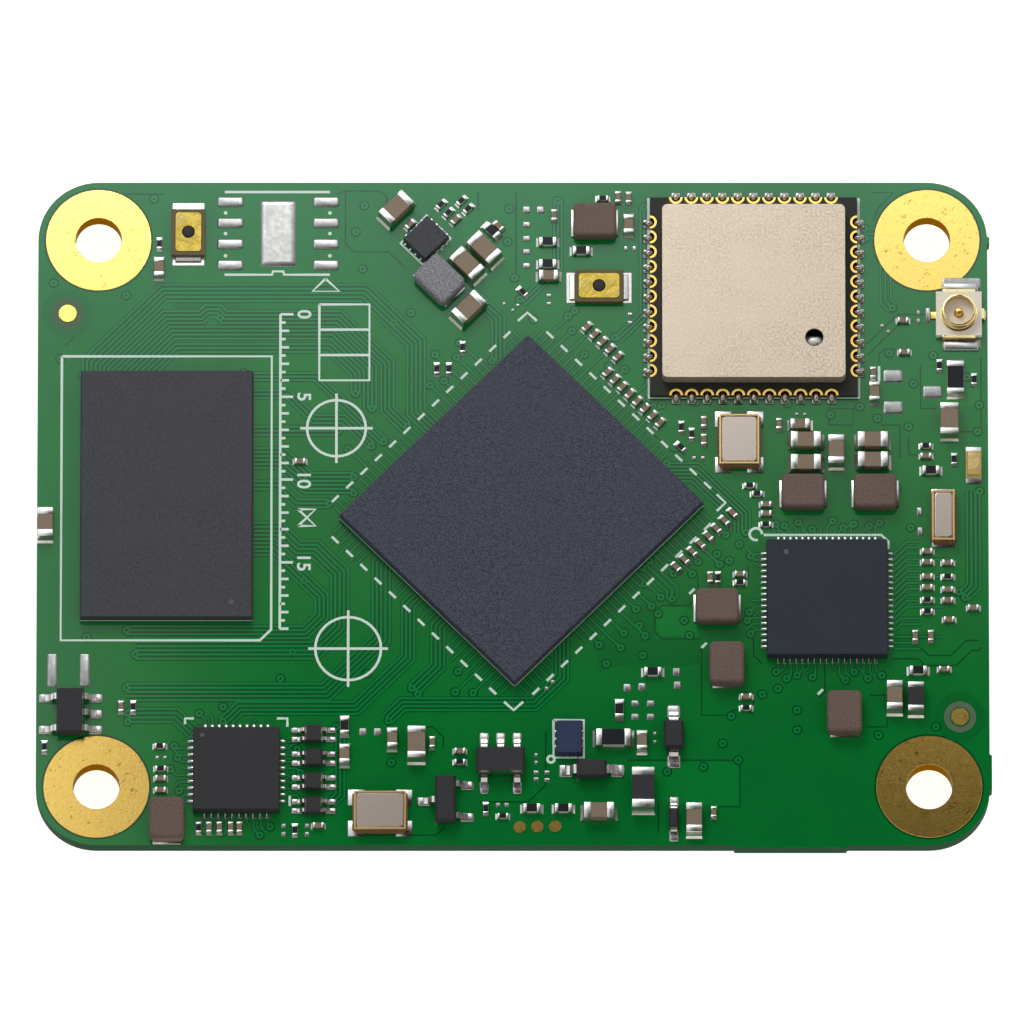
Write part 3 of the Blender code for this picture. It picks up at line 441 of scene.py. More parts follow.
def make_finishes():
    """Every material, made once."""
    SURFACE.update(Grain=grain_group(), Clouds=cloud_group(), Scratches=scratch_group())
    board, packs, chips, parts, _ = (getattr(bpy.context.scene, name) for name in SETTINGS)
    FINISH.update(
        mask=lacquer("solder_mask", board.mask, board.mask_deep),
        mask_bare=lacquer("solder_mask_over_laminate", board.mask_deep, shade(board.mask_deep, 0.8)),
        mask_dim=lacquer("solder_mask_over_inner_gap", shade(board.mask, 0.8), shade(board.mask, 0.7)),
        mask_pale=lacquer("solder_mask_over_inner_copper", shade(board.mask, 1.12), board.mask),
        track=lacquer("solder_mask_over_tracks", board.track, shade(board.track, 0.85), 0.3),
        laminate=laminate("sawn_laminate", board.laminate),
        printing=printed("white_print", board.printing),
        gold=plated("gold_plating", board.gold, 0.00012, 0.7, 0.000002, 0.18, 0.23, 0.97, even=True, specks=0.0004),
        # The hole wall's plating takes a darker colour that paints the shade inside the screw holes
        bore=plated(
            "hole_wall", parts.bore, 0.00012, 0.6, smooth=0.3, rough=0.4, patch=0.9, even=True, edge=parts.bore_edge,
        ),
        fine_gold=plated("turned_gold", board.gold, 0.00008, 0.3, 0.000002, 0.16, 0.26, 0.94),
        pale_gold=plated("socket_ring", parts.pale_gold, 0.00008, 0.3, 0.000002, 0.22, 0.32, 0.92),
        uncoated=moulded("uncoated_laminate", board.uncoated, 0.00008, 0.6),
        blue_mould=moulded("load_switch_mould", parts.blue_mould, 0.00007, 0.5),
        mark=moulded("contact_mark", shade(packs.mould, 1.9), 0.00007, 0.5),
        tin=plated("tinned_metal", board.tin, 0.00013, 0.7, 0.000002, 0.22, 0.36, 0.84),
        solder=plated("set_solder", board.solder, 0.00022, 1.3, 0.000001, 0.3, 0.42, 0.8, 0.000002),
        bare_pad=plated("bare_pad_solder", board.bare_pad, 0.0003, 1.6, 0.000002, 0.3, 0.42, 0.78, 0.000003),
        contact=plated("dull_contacts", parts.contact, 0.0001, 0.5, 0.000001, 0.26, 0.36, 0.86),
        rim=plated("crystal_rim", parts.rim, 0.0001, 0.5, 0.000001, 0.26, 0.36, 0.9, even=True),
        array_mould=moulded("processor_mould", packs.array_mould, 0.0001, 1.8, 0.000015, 0.5, 1.6, 0.48),
        mould=moulded("memory_mould", packs.mould, 0.00012, 1.0, 0.00001, 0.5, 1.35, 0.68),
        power_mould=moulded("power_chip_mould", packs.power_mould, 0.00009, 0.5),
        network_mould=moulded("network_chip_mould", packs.network_mould, 0.00008, 0.6),
        # The substrate's pale colour paints a highlight along the lower edge of the processor, memory and flash
        substrate=moulded("package_substrate", packs.substrate, 0.00005, 0.4),
        carrier=moulded("radio_carrier", packs.carrier, 0.00009, 0.8, 0.000004, 0.35, 1.5, 0.7),
        inductor=moulded("inductor_powder", packs.inductor, 0.0001, 1.3, 0.00001, 0.6, 1.28, 0.7),
        grey_inductor=moulded("grey_inductor_powder", packs.grey_inductor, 0.00012, 1.7, 0.00002, 0.55, 1.4, 0.62),
        shield=rolled_sheet("shield_sheet", packs.shield),
        lid=plated("crystal_lid", packs.lid, 0.0001, 0.6, 0.000002, 0.26, 0.32, 0.97, even=True),
        ceramic=moulded("crystal_ceramic", packs.ceramic, 0.00008, 0.5),
        capacitor=moulded("capacitor_ceramic", chips.capacitor, 0.00007, 0.5, 0.000003, 0.4),
        resistor=moulded("resistor_glaze", chips.resistor, 0.00006, 0.4, 0.000002, 0.3),
        alumina=moulded("alumina", chips.alumina, 0.00006, 0.4),
        terminal=plated("plated_ends", chips.terminal, 0.00008, 0.6, 0.000002, 0.28, 0.45, 0.82),
        film=clear_film("switch_film", parts.film),
        frame=moulded("switch_frame", parts.frame, 0.00008, 0.5, 0.000004, 0.4),
        plunger=moulded("switch_plunger", parts.plunger, 0.00006, 0.6),
        cream=moulded("socket_base", parts.cream, 0.00007, 0.4, 0.000003, 0.4, 1.05, 0.9),
        plug=moulded("plug_moulding", parts.plug, 0.00007, 0.5, 0.000004, 0.4),
        lens=clear_film("light_lens", parts.lens),
    )


# Meshes
def new_object(name, data):
    """An object in the scene."""
    made = bpy.data.objects.new(name, data)
    bpy.context.scene.collection.objects.link(made)
    return made


def mesh_of(name, shape):
    """A mesh from a bmesh, which ends with it."""
    mesh = bpy.data.meshes.new(name)
    shape.to_mesh(mesh)
    shape.free()
    return mesh


def evaluated_mesh(made):
    """What an object's modifiers give, as a plain mesh."""
    return bpy.data.meshes.new_from_object(made.evaluated_get(bpy.context.evaluated_depsgraph_get()))


def smooth_shading(mesh, sharp):
    mesh.shade_smooth()
    mesh.set_sharp_from_angle(angle=math.radians(sharp))


def add_piece(name, shape, finishes, slot, *stands_for, body=BODY, sharp=25):
    """A finished piece from a bmesh, riding on its body."""
    mesh = mesh_of(name, shape)
    for finish in finishes:
        mesh.materials.append(FINISH[finish])
    smooth_shading(mesh, sharp)
    return settle(new_object(name, mesh), slot, *stands_for, body=body)


def settle(piece, slot, *stands_for, body=BODY):
    """Keep flat faces flat in shading; then attach a piece to the body it rides on and hide the CAD nodes it stands
    for; the slot is not used.
    """
    step = piece.modifiers.new("Flat faces", "WEIGHTED_NORMAL")
    step.keep_sharp = True
    made = evaluated_mesh(piece)
    piece.modifiers.remove(step)
    piece.data = made
    made.name = piece.name
    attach(piece, body)
    if stands_for:
        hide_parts(*stands_for)
    return piece


def cad_copy(node):
    """A merged copy of a CAD node's mesh, with its flat faces whole."""
    shape = bmesh.new()
    shape.from_mesh(NODES[node].data)
    bmesh.ops.remove_doubles(shape, verts=shape.verts, dist=0.002 * MM)
    bmesh.ops.dissolve_limit(
        shape, angle_limit=math.radians(1), verts=shape.verts, edges=shape.edges, use_dissolve_boundaries=False,
    )
    return shape


def soften(shape, width, segments=2, angle=35):
    """Round the sharp edges of a shape."""
    edges = [
        edge for edge in shape.edges
        if len(edge.link_faces) == 2 and edge.calc_face_angle(0) > math.radians(angle)
    ]
    bmesh.ops.bevel(
        shape, geom=edges, offset=width, segments=segments, profile=0.5, affect="EDGES", clamp_overlap=True,
    )
    return shape


def placed(shape, x=0.0, y=0.0, z=0.0, turn=0.0):
    """A shape turned about Z and moved to its place."""
    shape.transform(Matrix.Translation((x, y, z)) @ Matrix.Rotation(turn, 4, "Z"))
    return shape


def join_shapes(*pairs):
    """Several (shape, material index) pairs in one shape; a shape without an index takes the first material."""
    whole = bmesh.new()
    for pair in pairs:
        shape, index = pair if isinstance(pair, tuple) else (pair, 0)
        for face in shape.faces:
            face.material_index = index
        mesh = mesh_of("joined", shape)
        whole.from_mesh(mesh)
        bpy.data.meshes.remove(mesh)
    return whole


def close_up(shape, rings):
    """Faces between neighbouring rings of corners, and over both ends."""
    for low, high in zip(rings, rings[1:]):
        for k in range(len(low)):
            after = (k + 1) % len(low)
            shape.faces.new((low[k], low[after], high[after], high[k]))
    shape.faces.new(rings[-1])
    shape.faces.new(list(reversed(rings[0])))
    bmesh.ops.recalc_face_normals(shape, faces=shape.faces)
    return shape


def prism(outline, bottom, height, draft=0.0):
    """A closed prism over an outline of (x, y) points in metres."""
    shape = bmesh.new()
    middle = sum((Vector(point) for point in outline), Vector((0, 0))) / len(outline)
    rings = []
    for level, inset in ((bottom, 0.0), (bottom + height, draft)):
        ring = []
        for point in outline:
            spoke = Vector(point) - middle
            moved = middle + spoke * (1 - inset / max(spoke.length, 1e-9))
            ring.append(shape.verts.new((moved.x, moved.y, level)))
        rings.append(ring)
    return close_up(shape, rings)


def box_outline(length, width, corner=0.0, steps=4):
    """A rectangle's corner points round the origin, with round corners if it has any."""
    points = []
    for quarter in range(4):
        side_x = 1 if quarter in (0, 3) else -1
        side_y = 1 if quarter in (0, 1) else -1
        for step in range(steps + 1 if corner else 1):
            angle = math.pi / 2 * (quarter + step / steps)
            points.append((
                side_x * (length / 2 - corner) + corner * math.cos(angle),
                side_y * (width / 2 - corner) + corner * math.sin(angle),
            ))
    return points


def pillow(length, width, height, corner=0.0):
    """A low mound of solder over a rectangular pad, standing on Z = 0."""
    shape = bmesh.new()
    half = min(length, width) / 2
    corner = corner or half * 0.35
    rings = []
    for inset, rise in ((0.0, 0.0), (0.03, 0.45), (0.12, 0.82), (0.3, 1.0)):
        outline = box_outline(length - 2 * inset * half, width - 2 * inset * half, corner * (1 - inset), 3)
        rings.append([shape.verts.new((x, y, rise * height)) for x, y in outline])
    return close_up(shape, rings)


def ring_outline(diameter, steps=16):
    return arc(0.0, 0.0, diameter / 2, steps)[:-1]


def arc(x, y, radius, steps, share=1.0):
    """Points round a centre, over a share of the whole turn."""
    angles = [math.tau * share * k / steps for k in range(steps + 1)]
    return [(x + radius * math.cos(angle), y + radius * math.sin(angle)) for angle in angles]


def sweep(shape, section, steps, start=0.0, turn=math.tau):
    """A section of (radius, height) corners swept about Z, with end faces where it doesn't close."""
    whole = turn == math.tau
    loops = []
    for k in range(steps if whole else steps + 1):
        angle = start + turn * k / steps
        loops.append([
            shape.verts.new((radius * math.cos(angle), radius * math.sin(angle), level)) for radius, level in section
        ])
    for here, there in zip(loops, loops[1:] + loops[:1] if whole else loops[1:]):
        for side in range(len(section)):
            after = (side + 1) % len(section)
            shape.faces.new((here[side], there[side], there[after], here[after]))
    if not whole:
        shape.faces.new(loops[0])
        shape.faces.new(loops[-1])
    bmesh.ops.recalc_face_normals(shape, faces=shape.faces)


def tube(inner, outer, bottom, height, steps=24):
    """A flat ring between two diameters."""
    shape = bmesh.new()
    top = bottom + height
    sweep(shape, ((inner / 2, bottom), (outer / 2, bottom), (outer / 2, top), (inner / 2, top)), steps)
    return shape


def lathe(profile, steps=24):
    """A closed profile of (radius, height) points turned about Z."""
    shape = bmesh.new()
    rings = []
    for radius, height in profile:
        outline = ring_outline(2 * radius, steps) if radius else [(0, 0)]
        rings.append([shape.verts.new((x, y, height)) for x, y in outline])
    for near, far in zip(rings, rings[1:]):
        for k in range(steps):
            after = (k + 1) % steps
            corners = [near[k % len(near)], near[after % len(near)], far[after % len(far)], far[k % len(far)]]
            unique = [corner for index, corner in enumerate(corners) if corner not in corners[:index]]
            if len(unique) > 2:
                shape.faces.new(unique)
    bmesh.ops.recalc_face_normals(shape, faces=shape.faces)
    return shape


def axes(turn):
    """The directions along and across something that is turned about Z."""
    along = Vector((math.cos(turn), math.sin(turn)))
    return along, Vector((-along.y, along.x))


def lie_of(points):
    """Centre, turn, length and width of a rectangle that lies at some multiple of 45 degrees."""
    best = None
    for turn in (0, 45, 90, 135):
        along, across = axes(math.radians(turn))
        reach = [point.dot(along) for point in points]
        spread = [point.dot(across) for point in points]
        length, width = max(reach) - min(reach), max(spread) - min(spread)
        centre = along * (max(reach) + min(reach)) / 2 + across * (max(spread) + min(spread)) / 2
        if length >= width - 1e-7 and (best is None or length * width < best[0] - 1e-12):
            best = (length * width, centre, math.radians(turn), length, width)
    return best[1:]


def node_lie(node):
    return lie_of([vertex.co.xy for vertex in NODES[node].data.vertices])


@functools.lru_cache(maxsize=None)
def board_features():
    """What stands on the board's own solid: (height in micrometres, centre, turn, length, width) each."""
    shape = cad_copy("circuit_board")
    raised = {face for face in shape.faces if face.normal.z > 0.99 and face.verts[0].co.z > BOARD_TOP + 0.01 * MM}
    found = []
    while raised:
        patch = [raised.pop()]
        for face in patch:
            beside = {other for edge in face.edges for other in edge.link_faces} & raised
            raised -= beside
            patch += beside
        height = patch[0].verts[0].co.z - BOARD_TOP
        corners = [corner.co.xy for face in patch for corner in face.verts]
        found.append((round(height / MM * 1000), *lie_of(corners)))
    shape.free()
    return sorted(found, key=lambda item: (item[0], item[1].x, item[1].y))


# Geometry Nodes trees
def start_tree(name, *inputs):
    """A tree that takes a mesh and a material."""
    return new_group(
        name, "GeometryNodeTree", [("Geometry", "Geometry"), *inputs, ("Finish", "Material")],
        [("Geometry", "Geometry")],
    )


def finish_tree(wiring, geometry, given, result):
    """Every tree ends in real geometry with its material."""
    real = wiring.add("GeometryNodeRealizeInstances", {"Geometry": geometry}).outputs["Geometry"]
    painted = wiring.add("GeometryNodeSetMaterial", {"Geometry": real, "Material": given.outputs["Finish"]})
    wiring.fill(result, {"Geometry": painted.outputs["Geometry"]})


def ribbon_tree():
    """Flat strips along the lines of a mesh."""
    group, wiring, given, result = start_tree("Ribbons", ("Width", "Float", 0.0001), ("Height", "Float", 0.00001))
    curve = wiring.add("GeometryNodeMeshToCurve", {"Mesh": given.outputs["Geometry"]}).outputs["Curve"]
    level = wiring.add("GeometryNodeSetCurveNormal", {"Curve": curve}, mode="Z_UP").outputs["Curve"]
    section = wiring.add(
        "GeometryNodeCurvePrimitiveQuadrilateral",
        {"Width": given.outputs["Width"], "Height": given.outputs["Height"]},
    ).outputs["Curve"]
    strip = wiring.add("GeometryNodeCurveToMesh", {"Curve": level, "Profile Curve": section, "Fill Caps": True})
    finish_tree(wiring, strip.outputs["Mesh"], given, result)
    return group


def copies_tree():
    """A template at every point of a mesh, turned and sized by the point's own attributes."""
    group, wiring, given, result = start_tree("Copies", ("Template", "Object"))
    template = wiring.add("GeometryNodeObjectInfo", {"Object": given.outputs["Template"]}).outputs["Geometry"]
    turn, size = (
        wiring.add("GeometryNodeInputNamedAttribute", {"Name": name}, data_type=kind).outputs["Attribute"]
        for name, kind in (("turn", "FLOAT"), ("size", "FLOAT_VECTOR"))
    )
    angles = wiring.add("ShaderNodeCombineXYZ", {"Z": turn}).outputs[0]
    rotation = wiring.add("FunctionNodeEulerToRotation", {"Euler": angles}).outputs[0]
    spread = wiring.add("GeometryNodeInstanceOnPoints", {
        "Points": given.outputs["Geometry"], "Instance": template, "Rotation": rotation, "Scale": size,
    })
    finish_tree(wiring, spread.outputs["Instances"], given, result)
    return group


TREES = {}


def grow(name, base, tree, values, slot, sharp=25):
    """Run a tree on a mesh, keep the result as a plain mesh and settle it."""
    holder = new_object(name, base)
    step = holder.modifiers.new("Grown", "NODES")
    step.node_group = TREES[tree]
    for item in TREES[tree].interface.items_tree:
        if item.in_out == "INPUT" and item.name in values:
            step[item.identifier] = values[item.name]
    mesh = evaluated_mesh(holder)
    if not mesh.polygons:
        raise RuntimeError(f"{name} came out empty")
    holder.modifiers.remove(step)
    holder.data = mesh
    mesh.name = name
    smooth_shading(mesh, sharp)
    return settle(holder, slot)


def ribbons(name, paths, level, width, height, finish):
    """Strips along paths of (x, y) points in millimetres, a hair apart in height where they cross."""
    points, edges = [], []
    for index, path in enumerate(paths):
        first = len(points)
        lift = level + height / 2 + index % 9 * LINE_STEP
        points += [(x * MM, y * MM, lift) for x, y in path]
        edges += [(first + k, first + k + 1) for k in range(len(path) - 1)]
    base = bpy.data.meshes.new(name)
    base.from_pydata(points, edges, [])
    return grow(name, base, "ribbons", {"Width": width, "Height": height, "Finish": FINISH[finish]}, "board")


def copies(name, shape, places, finish, slot, sharp=25):
    """A shape repeated at places: (x, y, z, turn) and a size if it isn't 1, in metres and radians."""
    template = new_object(f"{name}_template", mesh_of(f"{name}_template", shape))
    base = bpy.data.meshes.new(name)
    base.from_pydata([place[:3] for place in places], [], [])
    turn = base.attributes.new("turn", "FLOAT", "POINT")
    size = base.attributes.new("size", "FLOAT_VECTOR", "POINT")
    for k, place in enumerate(places):
        turn.data[k].value = place[3]
        size.data[k].vector = place[4] if len(place) > 4 else (1, 1, 1)
    piece = grow(name, base, "copies", {"Template": template, "Finish": FINISH[finish]}, slot, sharp)
    bpy.data.objects.remove(template)
    return piece


# Layout of copper and print, in millimetres from the board's centre
def bundle(path, count, pitch):
    """Lines beside a path, each a pitch further to its left, with their bends kept parallel."""
    points = [Vector(point) for point in path]
    lines = []
    for k in range(count):
        line = []
        for before, point, after in zip(points[:1] + points, points, points[1:] + points[-1:]):
            runs = [end - start for start, end in ((before, point), (point, after)) if end != start]
            sides = [Vector((-run.y, run.x)).normalized() for run in runs]
            middle = sum(sides, Vector((0, 0))).normalized()
            line.append(tuple(point + middle * (k * pitch / max(middle.dot(sides[0]), 0.3))))
        lines.append(line)
    return lines


TRACK_BUNDLES = [
    ([(-24.9, 8.3), (-24.9, 9.3), (-20.4, 13.8), (-8.4, 13.8), (-5.1, 10.5), (-5.1, 6.3), (-4.2, 5.4)], 5, -0.25),
    ([(-23.66, 8.3), (-23.66, 8.8), (-20.26, 12.2), (-18.2, 12.2), (-17.85, 12.55), (-16.9, 12.55), (-16.55, 12.2),
      (-9.9, 12.2), (-6.9, 9.2), (-6.9, 6.4), (-5.9, 5.4)], 4, -0.24),
    ([(-22.8, 8.3), (-19.85, 11.25), (-10.25, 11.25), (-7.9, 8.9), (-7.9, 6.3)], 4, -0.24),
    ([(-21.44, 8.3), (-19.54, 10.2), (-10.56, 10.2), (-8.86, 8.5), (-8.86, 7.2)], 3, -0.24),
    ([(-15.6, 8.45), (-11.3, 8.45), (-8.2, 5.35), (-7.3, 4.45)], 3, -0.22),
    ([(-15.6, 7.4), (-12.9, 7.4), (-11.4, 5.9), (-9.7, 5.9), (-8.0, 4.2)], 3, -0.24),
    ([(-15.6, 5.2), (-12.9, 5.2), (-10.1, 5.2)], 3, -0.25),
    ([(-15.6, 3.9), (-13.2, 3.9), (-11.6, 2.4), (-9.2, 2.4)], 6, -0.24),
    ([(-15.6, 1.9), (-13.5, 1.9), (-12.4, 0.8), (-10.6, 0.8)], 3, -0.24),
    ([(-15.6, -0.6), (-13.3, -0.6), (-12.2, -1.7), (-11.2, -1.7), (-9.5, -3.4), (-9.5, -7.1), (-11.2, -8.8),
      (-21.8, -8.8)], 5, -0.25),
    ([(-15.6, -2.55), (-14.05, -2.55), (-11.4, -5.2), (-11.4, -6.1), (-12.15, -6.85), (-22.3, -6.85)], 4, 0.24),
    ([(-7.4, -2.2), (-8.1, -2.9), (-8.1, -7.4), (-11.0, -10.3), (-22.3, -10.3)], 5, 0.25),
    ([(-5.4, -4.4), (-6.4, -5.4), (-6.4, -8.6), (-9.2, -11.4), (-15.9, -11.4), (-16.9, -12.4)], 4, 0.24),
    ([(-3.9, -5.9), (-4.7, -6.7), (-4.7, -9.1), (-6.0, -10.4)], 4, 0.25),
    ([(3.2, -7.2), (3.2, -10.1), (1.4, -11.9), (-6.2, -11.9), (-7.0, -12.7)], 4, -0.24),
    ([(8.9, 3.0), (10.8, 3.0), (13.7, 0.1), (13.7, -1.2)], 6, -0.22),
    ([(7.9, -2.9), (9.5, -4.5), (9.5, -5.2)], 3, -0.3),
    ([(27.0, 1.3), (27.0, -4.6), (26.3, -5.3)], 4, -0.25),
    ([(-10.2, -12.9), (-10.2, -16.9), (-11.0, -17.7)], 3, 0.25),
    ([(-22.2, -12.6), (-19.6, -12.6), (-18.6, -13.6)], 4, 0.26),
    ([(0.4, 12.9), (2.4, 14.9), (2.4, 18.9)], 3, -0.22),
    ([(-1.2, 9.2), (-1.2, 11.6), (-3.9, 14.3)], 4, -0.24),
    ([(20.4, 17.2), (21.9, 17.2), (21.9, 12.9), (22.2, 12.6)], 3, -0.3),
    ([(5.9, 10.6), (7.4, 12.1), (7.4, 18.5)], 3, -0.22),
]
# Outlines of copper areas: gaps in the copper, seen as dark lines
POUR_GAPS = [
    [(-10.2, 19.3), (-9.7, 19.5), (-7.7, 19.5), (-7.3, 19.1), (-7.3, 18.2)],
    [(-9.7, 19.5), (-9.7, 16.3), (-9.2, 15.8), (-7.2, 15.8), (-6.3, 14.9)],
    [(10.7, -3.9), (10.7, -5.0), (10.2, -5.6), (8.6, -5.6), (8.2, -6.0), (8.2, -7.2), (8.6, -7.6), (10.9, -7.6)],
    [(10.9, -8.2), (10.9, -12.2), (12.4, -12.2), (12.7, -11.9), (13.6, -11.9), (13.9, -12.2), (13.9, -10.9)],
    [(6.6, -14.9), (13.1, -14.9), (13.1, -17.7), (11.3, -17.7)],
    [(18.0, -9.1), (18.0, -10.8), (17.7, -11.1)], [(20.6, -11.0), (21.6, -11.0), (21.6, -12.9), (20.4, -12.9)],
    [(21.9, -8.2), (23.6, -8.2), (24.0, -8.6), (25.3, -8.6), (26.2, -7.7), (26.9, -7.7)],
    [(21.9, -8.8), (23.4, -8.8), (23.8, -9.2), (25.6, -9.2), (26.5, -8.3), (26.9, -8.3), (27.1, -8.1)],
    [(20.5, 10.2), (22.3, 12.0), (24.0, 12.0)], [(20.5, 9.5), (22.6, 11.6), (23.2, 11.6)],
    [(22.6, 9.4), (22.1, 9.9), (21.5, 9.9), (21.2, 9.6), (21.2, 9.1)],
    [(23.6, 8.9), (23.6, 6.3), (24.5, 6.3)], [(27.1, 9.4), (27.1, 4.9), (25.9, 4.9)],
    [(18.3, 5.3), (19.7, 5.3), (19.7, 6.3), (18.3, 6.3), (18.3, 5.3)], [(21.3, 5.3), (22.4, 5.3), (22.4, 3.3)],
    [(22.9, 4.6), (22.9, 3.5), (24.5, 3.5)],
    [(8.0, 4.9), (9.2, 3.7), (9.9, 3.7)], [(13.6, -3.2), (13.6, -4.4), (12.6, -4.4)],
    [(13.9, -7.6), (13.9, -8.6), (14.4, -9.1)], [(8.4, -19.3), (8.4, -17.4)],
    [(-9.2, -19.4), (-4.4, -19.4), (-3.9, -18.9)],
    [(-5.9, -12.9), (-4.6, -12.9), (-4.0, -13.5), (-4.0, -14.2)],
    [(1.9, -13.2), (1.9, -16.4), (0.9, -17.4), (-1.9, -17.4)],
    [(20.9, 19.4), (22.1, 19.4), (21.2, 18.5), (20.9, 17.7)], [(0.2, 19.4), (0.2, 14.2)],
    [(-2.0, 19.4), (-2.0, 18.3)],
    [(-22.6, 19.3), (-20.2, 19.3)], [(-25.9, 10.1), (-24.8, 11.2), (-24.8, 12.9)],
]
# Areas where the inner copper makes the lacquer look darker or lighter: (lighter, outline)
ZONES = [
    (False, [(4.9, -8.0), (7.9, -5.0), (8.2, -5.3), (8.2, -7.6), (10.8, -7.6), (10.8, -9.2), (6.2, -9.2),
     (5.0, -9.6)]),
    (True, [(8.5, -5.7), (10.2, -5.7), (10.6, -5.3), (10.6, -7.4), (8.7, -7.4), (8.3, -7.0), (8.3, -5.9)]),
    (True, [(6.9, -15.0), (13.0, -15.0), (13.0, -17.6), (6.9, -17.6)]),
    (False, [(-19.7, 12.1), (-16.2, 12.1), (-15.6, 12.6), (-15.6, 13.0), (-19.7, 13.0)]),
    (True, [(23.7, 8.7), (27.0, 8.7), (27.0, 6.5), (24.6, 6.5), (24.6, 6.9), (23.7, 6.9)]),
]


# How near a fanned-out track may come to another one
NEAR = 0.3
# Those at the processor: pitch, start under its edge, lengths, and the length from which they end in a via
FAN_PITCH = 0.38
FAN_START = 0.3
FAN_REACH = (1.2, 1.9, 1.4, 2.9, 1.2, 2.4, 1.6, 3.4)
FAN_VIA = 1.8
# Those to the right of the power controller: how many, their pitch, and where they end from the board's centre
POWER_COUNT = 17
POWER_PITCH = 0.356
POWER_ENDS = (23.5, 23.4, 23.5, 24.9, 23.5, 23.6, 24.8, 23.4)


def near_track(spot, others):
    """Whether a place is too near the tracks laid before."""
    for first, last in others:
        run = last - first
        share = min(1.0, max(0.0, (spot - first).dot(run) / max(run.dot(run), 1e-9)))
        if (spot - first - run * share).length < NEAR:
            return True
    return False


def clear_reach(start, side, reach, others):
    """How far a straight track may go from its start before it comes near another one."""
    gone = 0.4
    while gone < reach and not near_track(start + side * (gone + 0.1), others):
        gone += 0.1
    return min(gone, reach)


def fan_out(taken):
    """Tracks that leave the processor and the leadless chips, clear of those laid before."""
    lines, vias = [], []
    others = [(Vector(a), Vector(b)) for line in taken + POUR_GAPS for a, b in zip(line, line[1:])]
    centre, turn, length, width = node_lie("processor")
    along, across = axes(turn)
    for side, reach, span in (
        (across, width, length), (-across, width, length), (along, length, width), (-along, length, width),
    ):
        run = Vector((-side.y, side.x))
        count = int(span / MM / FAN_PITCH)
        for k in range(count):
            start = centre / MM + side * (reach / MM / 2 - FAN_START) + run * (k - (count - 1) / 2) * FAN_PITCH
            if near_track(start + side * 0.4, others):
                continue
            end = start + side * clear_reach(start, side, FAN_REACH[k * 5 % 8], others)
            lines.append([tuple(start), tuple(end)])
            if (end - start).length > FAN_VIA:
                vias.append(tuple(end))
    for node in ("power_controller", "network_transceiver"):
        count, pitch = CONTACTS[node]
        for index, (x, y, _, facing) in enumerate(side_places(node, count, pitch * MM, 0.35 * MM, 0)):
            if node == "power_controller" and facing == 0:
                continue
            side, run = axes(facing)
            run = run * (1 if (index % count) * 2 > count else -1)
            start = Vector((x, y)) / MM
            bend = start + side * (0.15 + 0.15 * (index * 3 % 4))
            end = bend + (side + run) * (0.15 + 0.1 * (index * 5 % 3))
            if any(near_track(start.lerp(bend, share), others) for share in (0, 0.5, 1)) or near_track(end, others):
                continue
            lines.append([tuple(start), tuple(bend), tuple(end)])
            if index % 2:
                vias.append(tuple(end))
    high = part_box("power_controller")[1] / MM
    for k in range(POWER_COUNT):
        x, y = high.x + 0.35, high.y - 0.7 - POWER_PITCH * k
        reach = POWER_ENDS[k % 8]
        rise = 0.75 if k < 12 else 0.4 if k < 14 else 0.0
        lines.append([(x, y), (x + rise, y + rise), (reach, y + rise)])
    return lines, vias


LOOSE_VIAS = [
    (-20.8, 19.0), (-21.45, 14.35), (-22.4, 13.15), (-16.95, 11.8), (-8.7, 14.75), (-12.05, -4.1), (-12.7, -8.4),
    (-7.0, -15.05), (-16.7, -11.7), (21.8, 9.65), (24.35, 9.5), (20.1, 6.4), (21.1, 5.7), (27.0, 6.5), (26.3, 8.2),
    (14.4, -10.95), (14.4, -11.45), (12.6, -12.25), (11.8, -2.5), (7.6, -4.3), (8.0, -5.2), (8.4, -6.1), (7.3, -6.8),
    (8.1, -7.6), (7.5, -8.6), (6.6, -7.4), (6.1, -8.3), (6.9, -5.6), (5.4, -9.1), (9.0, -5.5), (9.9, -6.5),
    (10.2, -7.4), (15.3, -10.6), (16.4, -11.9), (16.4, -13.1), (21.1, -13.4), (22.6, -13.9), (24.4, -12.9),
    (12.1, -13.9), (13.0, -14.9), (11.0, -15.3), (8.9, -15.6), (-8.4, -9.7), (-13.4, -10.0), (-24.6, -7.5),
    (-26.2, 9.3), (-24.9, 14.4), (-26.6, 13.9), (-9.1, 17.0), (-8.6, 18.6), (-0.2, 18.4), (-0.3, 16.4), (0.1, 14.2),
    (1.2, 11.7), (3.2, 11.9), (8.0, 8.1), (9.2, 7.2), (10.6, 6.7), (15.9, 6.6), (18.4, 5.9), (22.9, 5.2), (23.2, 7.8),
    (26.9, 4.9), (22.2, 1.5), (23.0, -0.9), (13.1, -1.9), (12.5, -2.9), (11.6, -1.3), (-5.9, 12.1), (-6.9, 11.5),
]
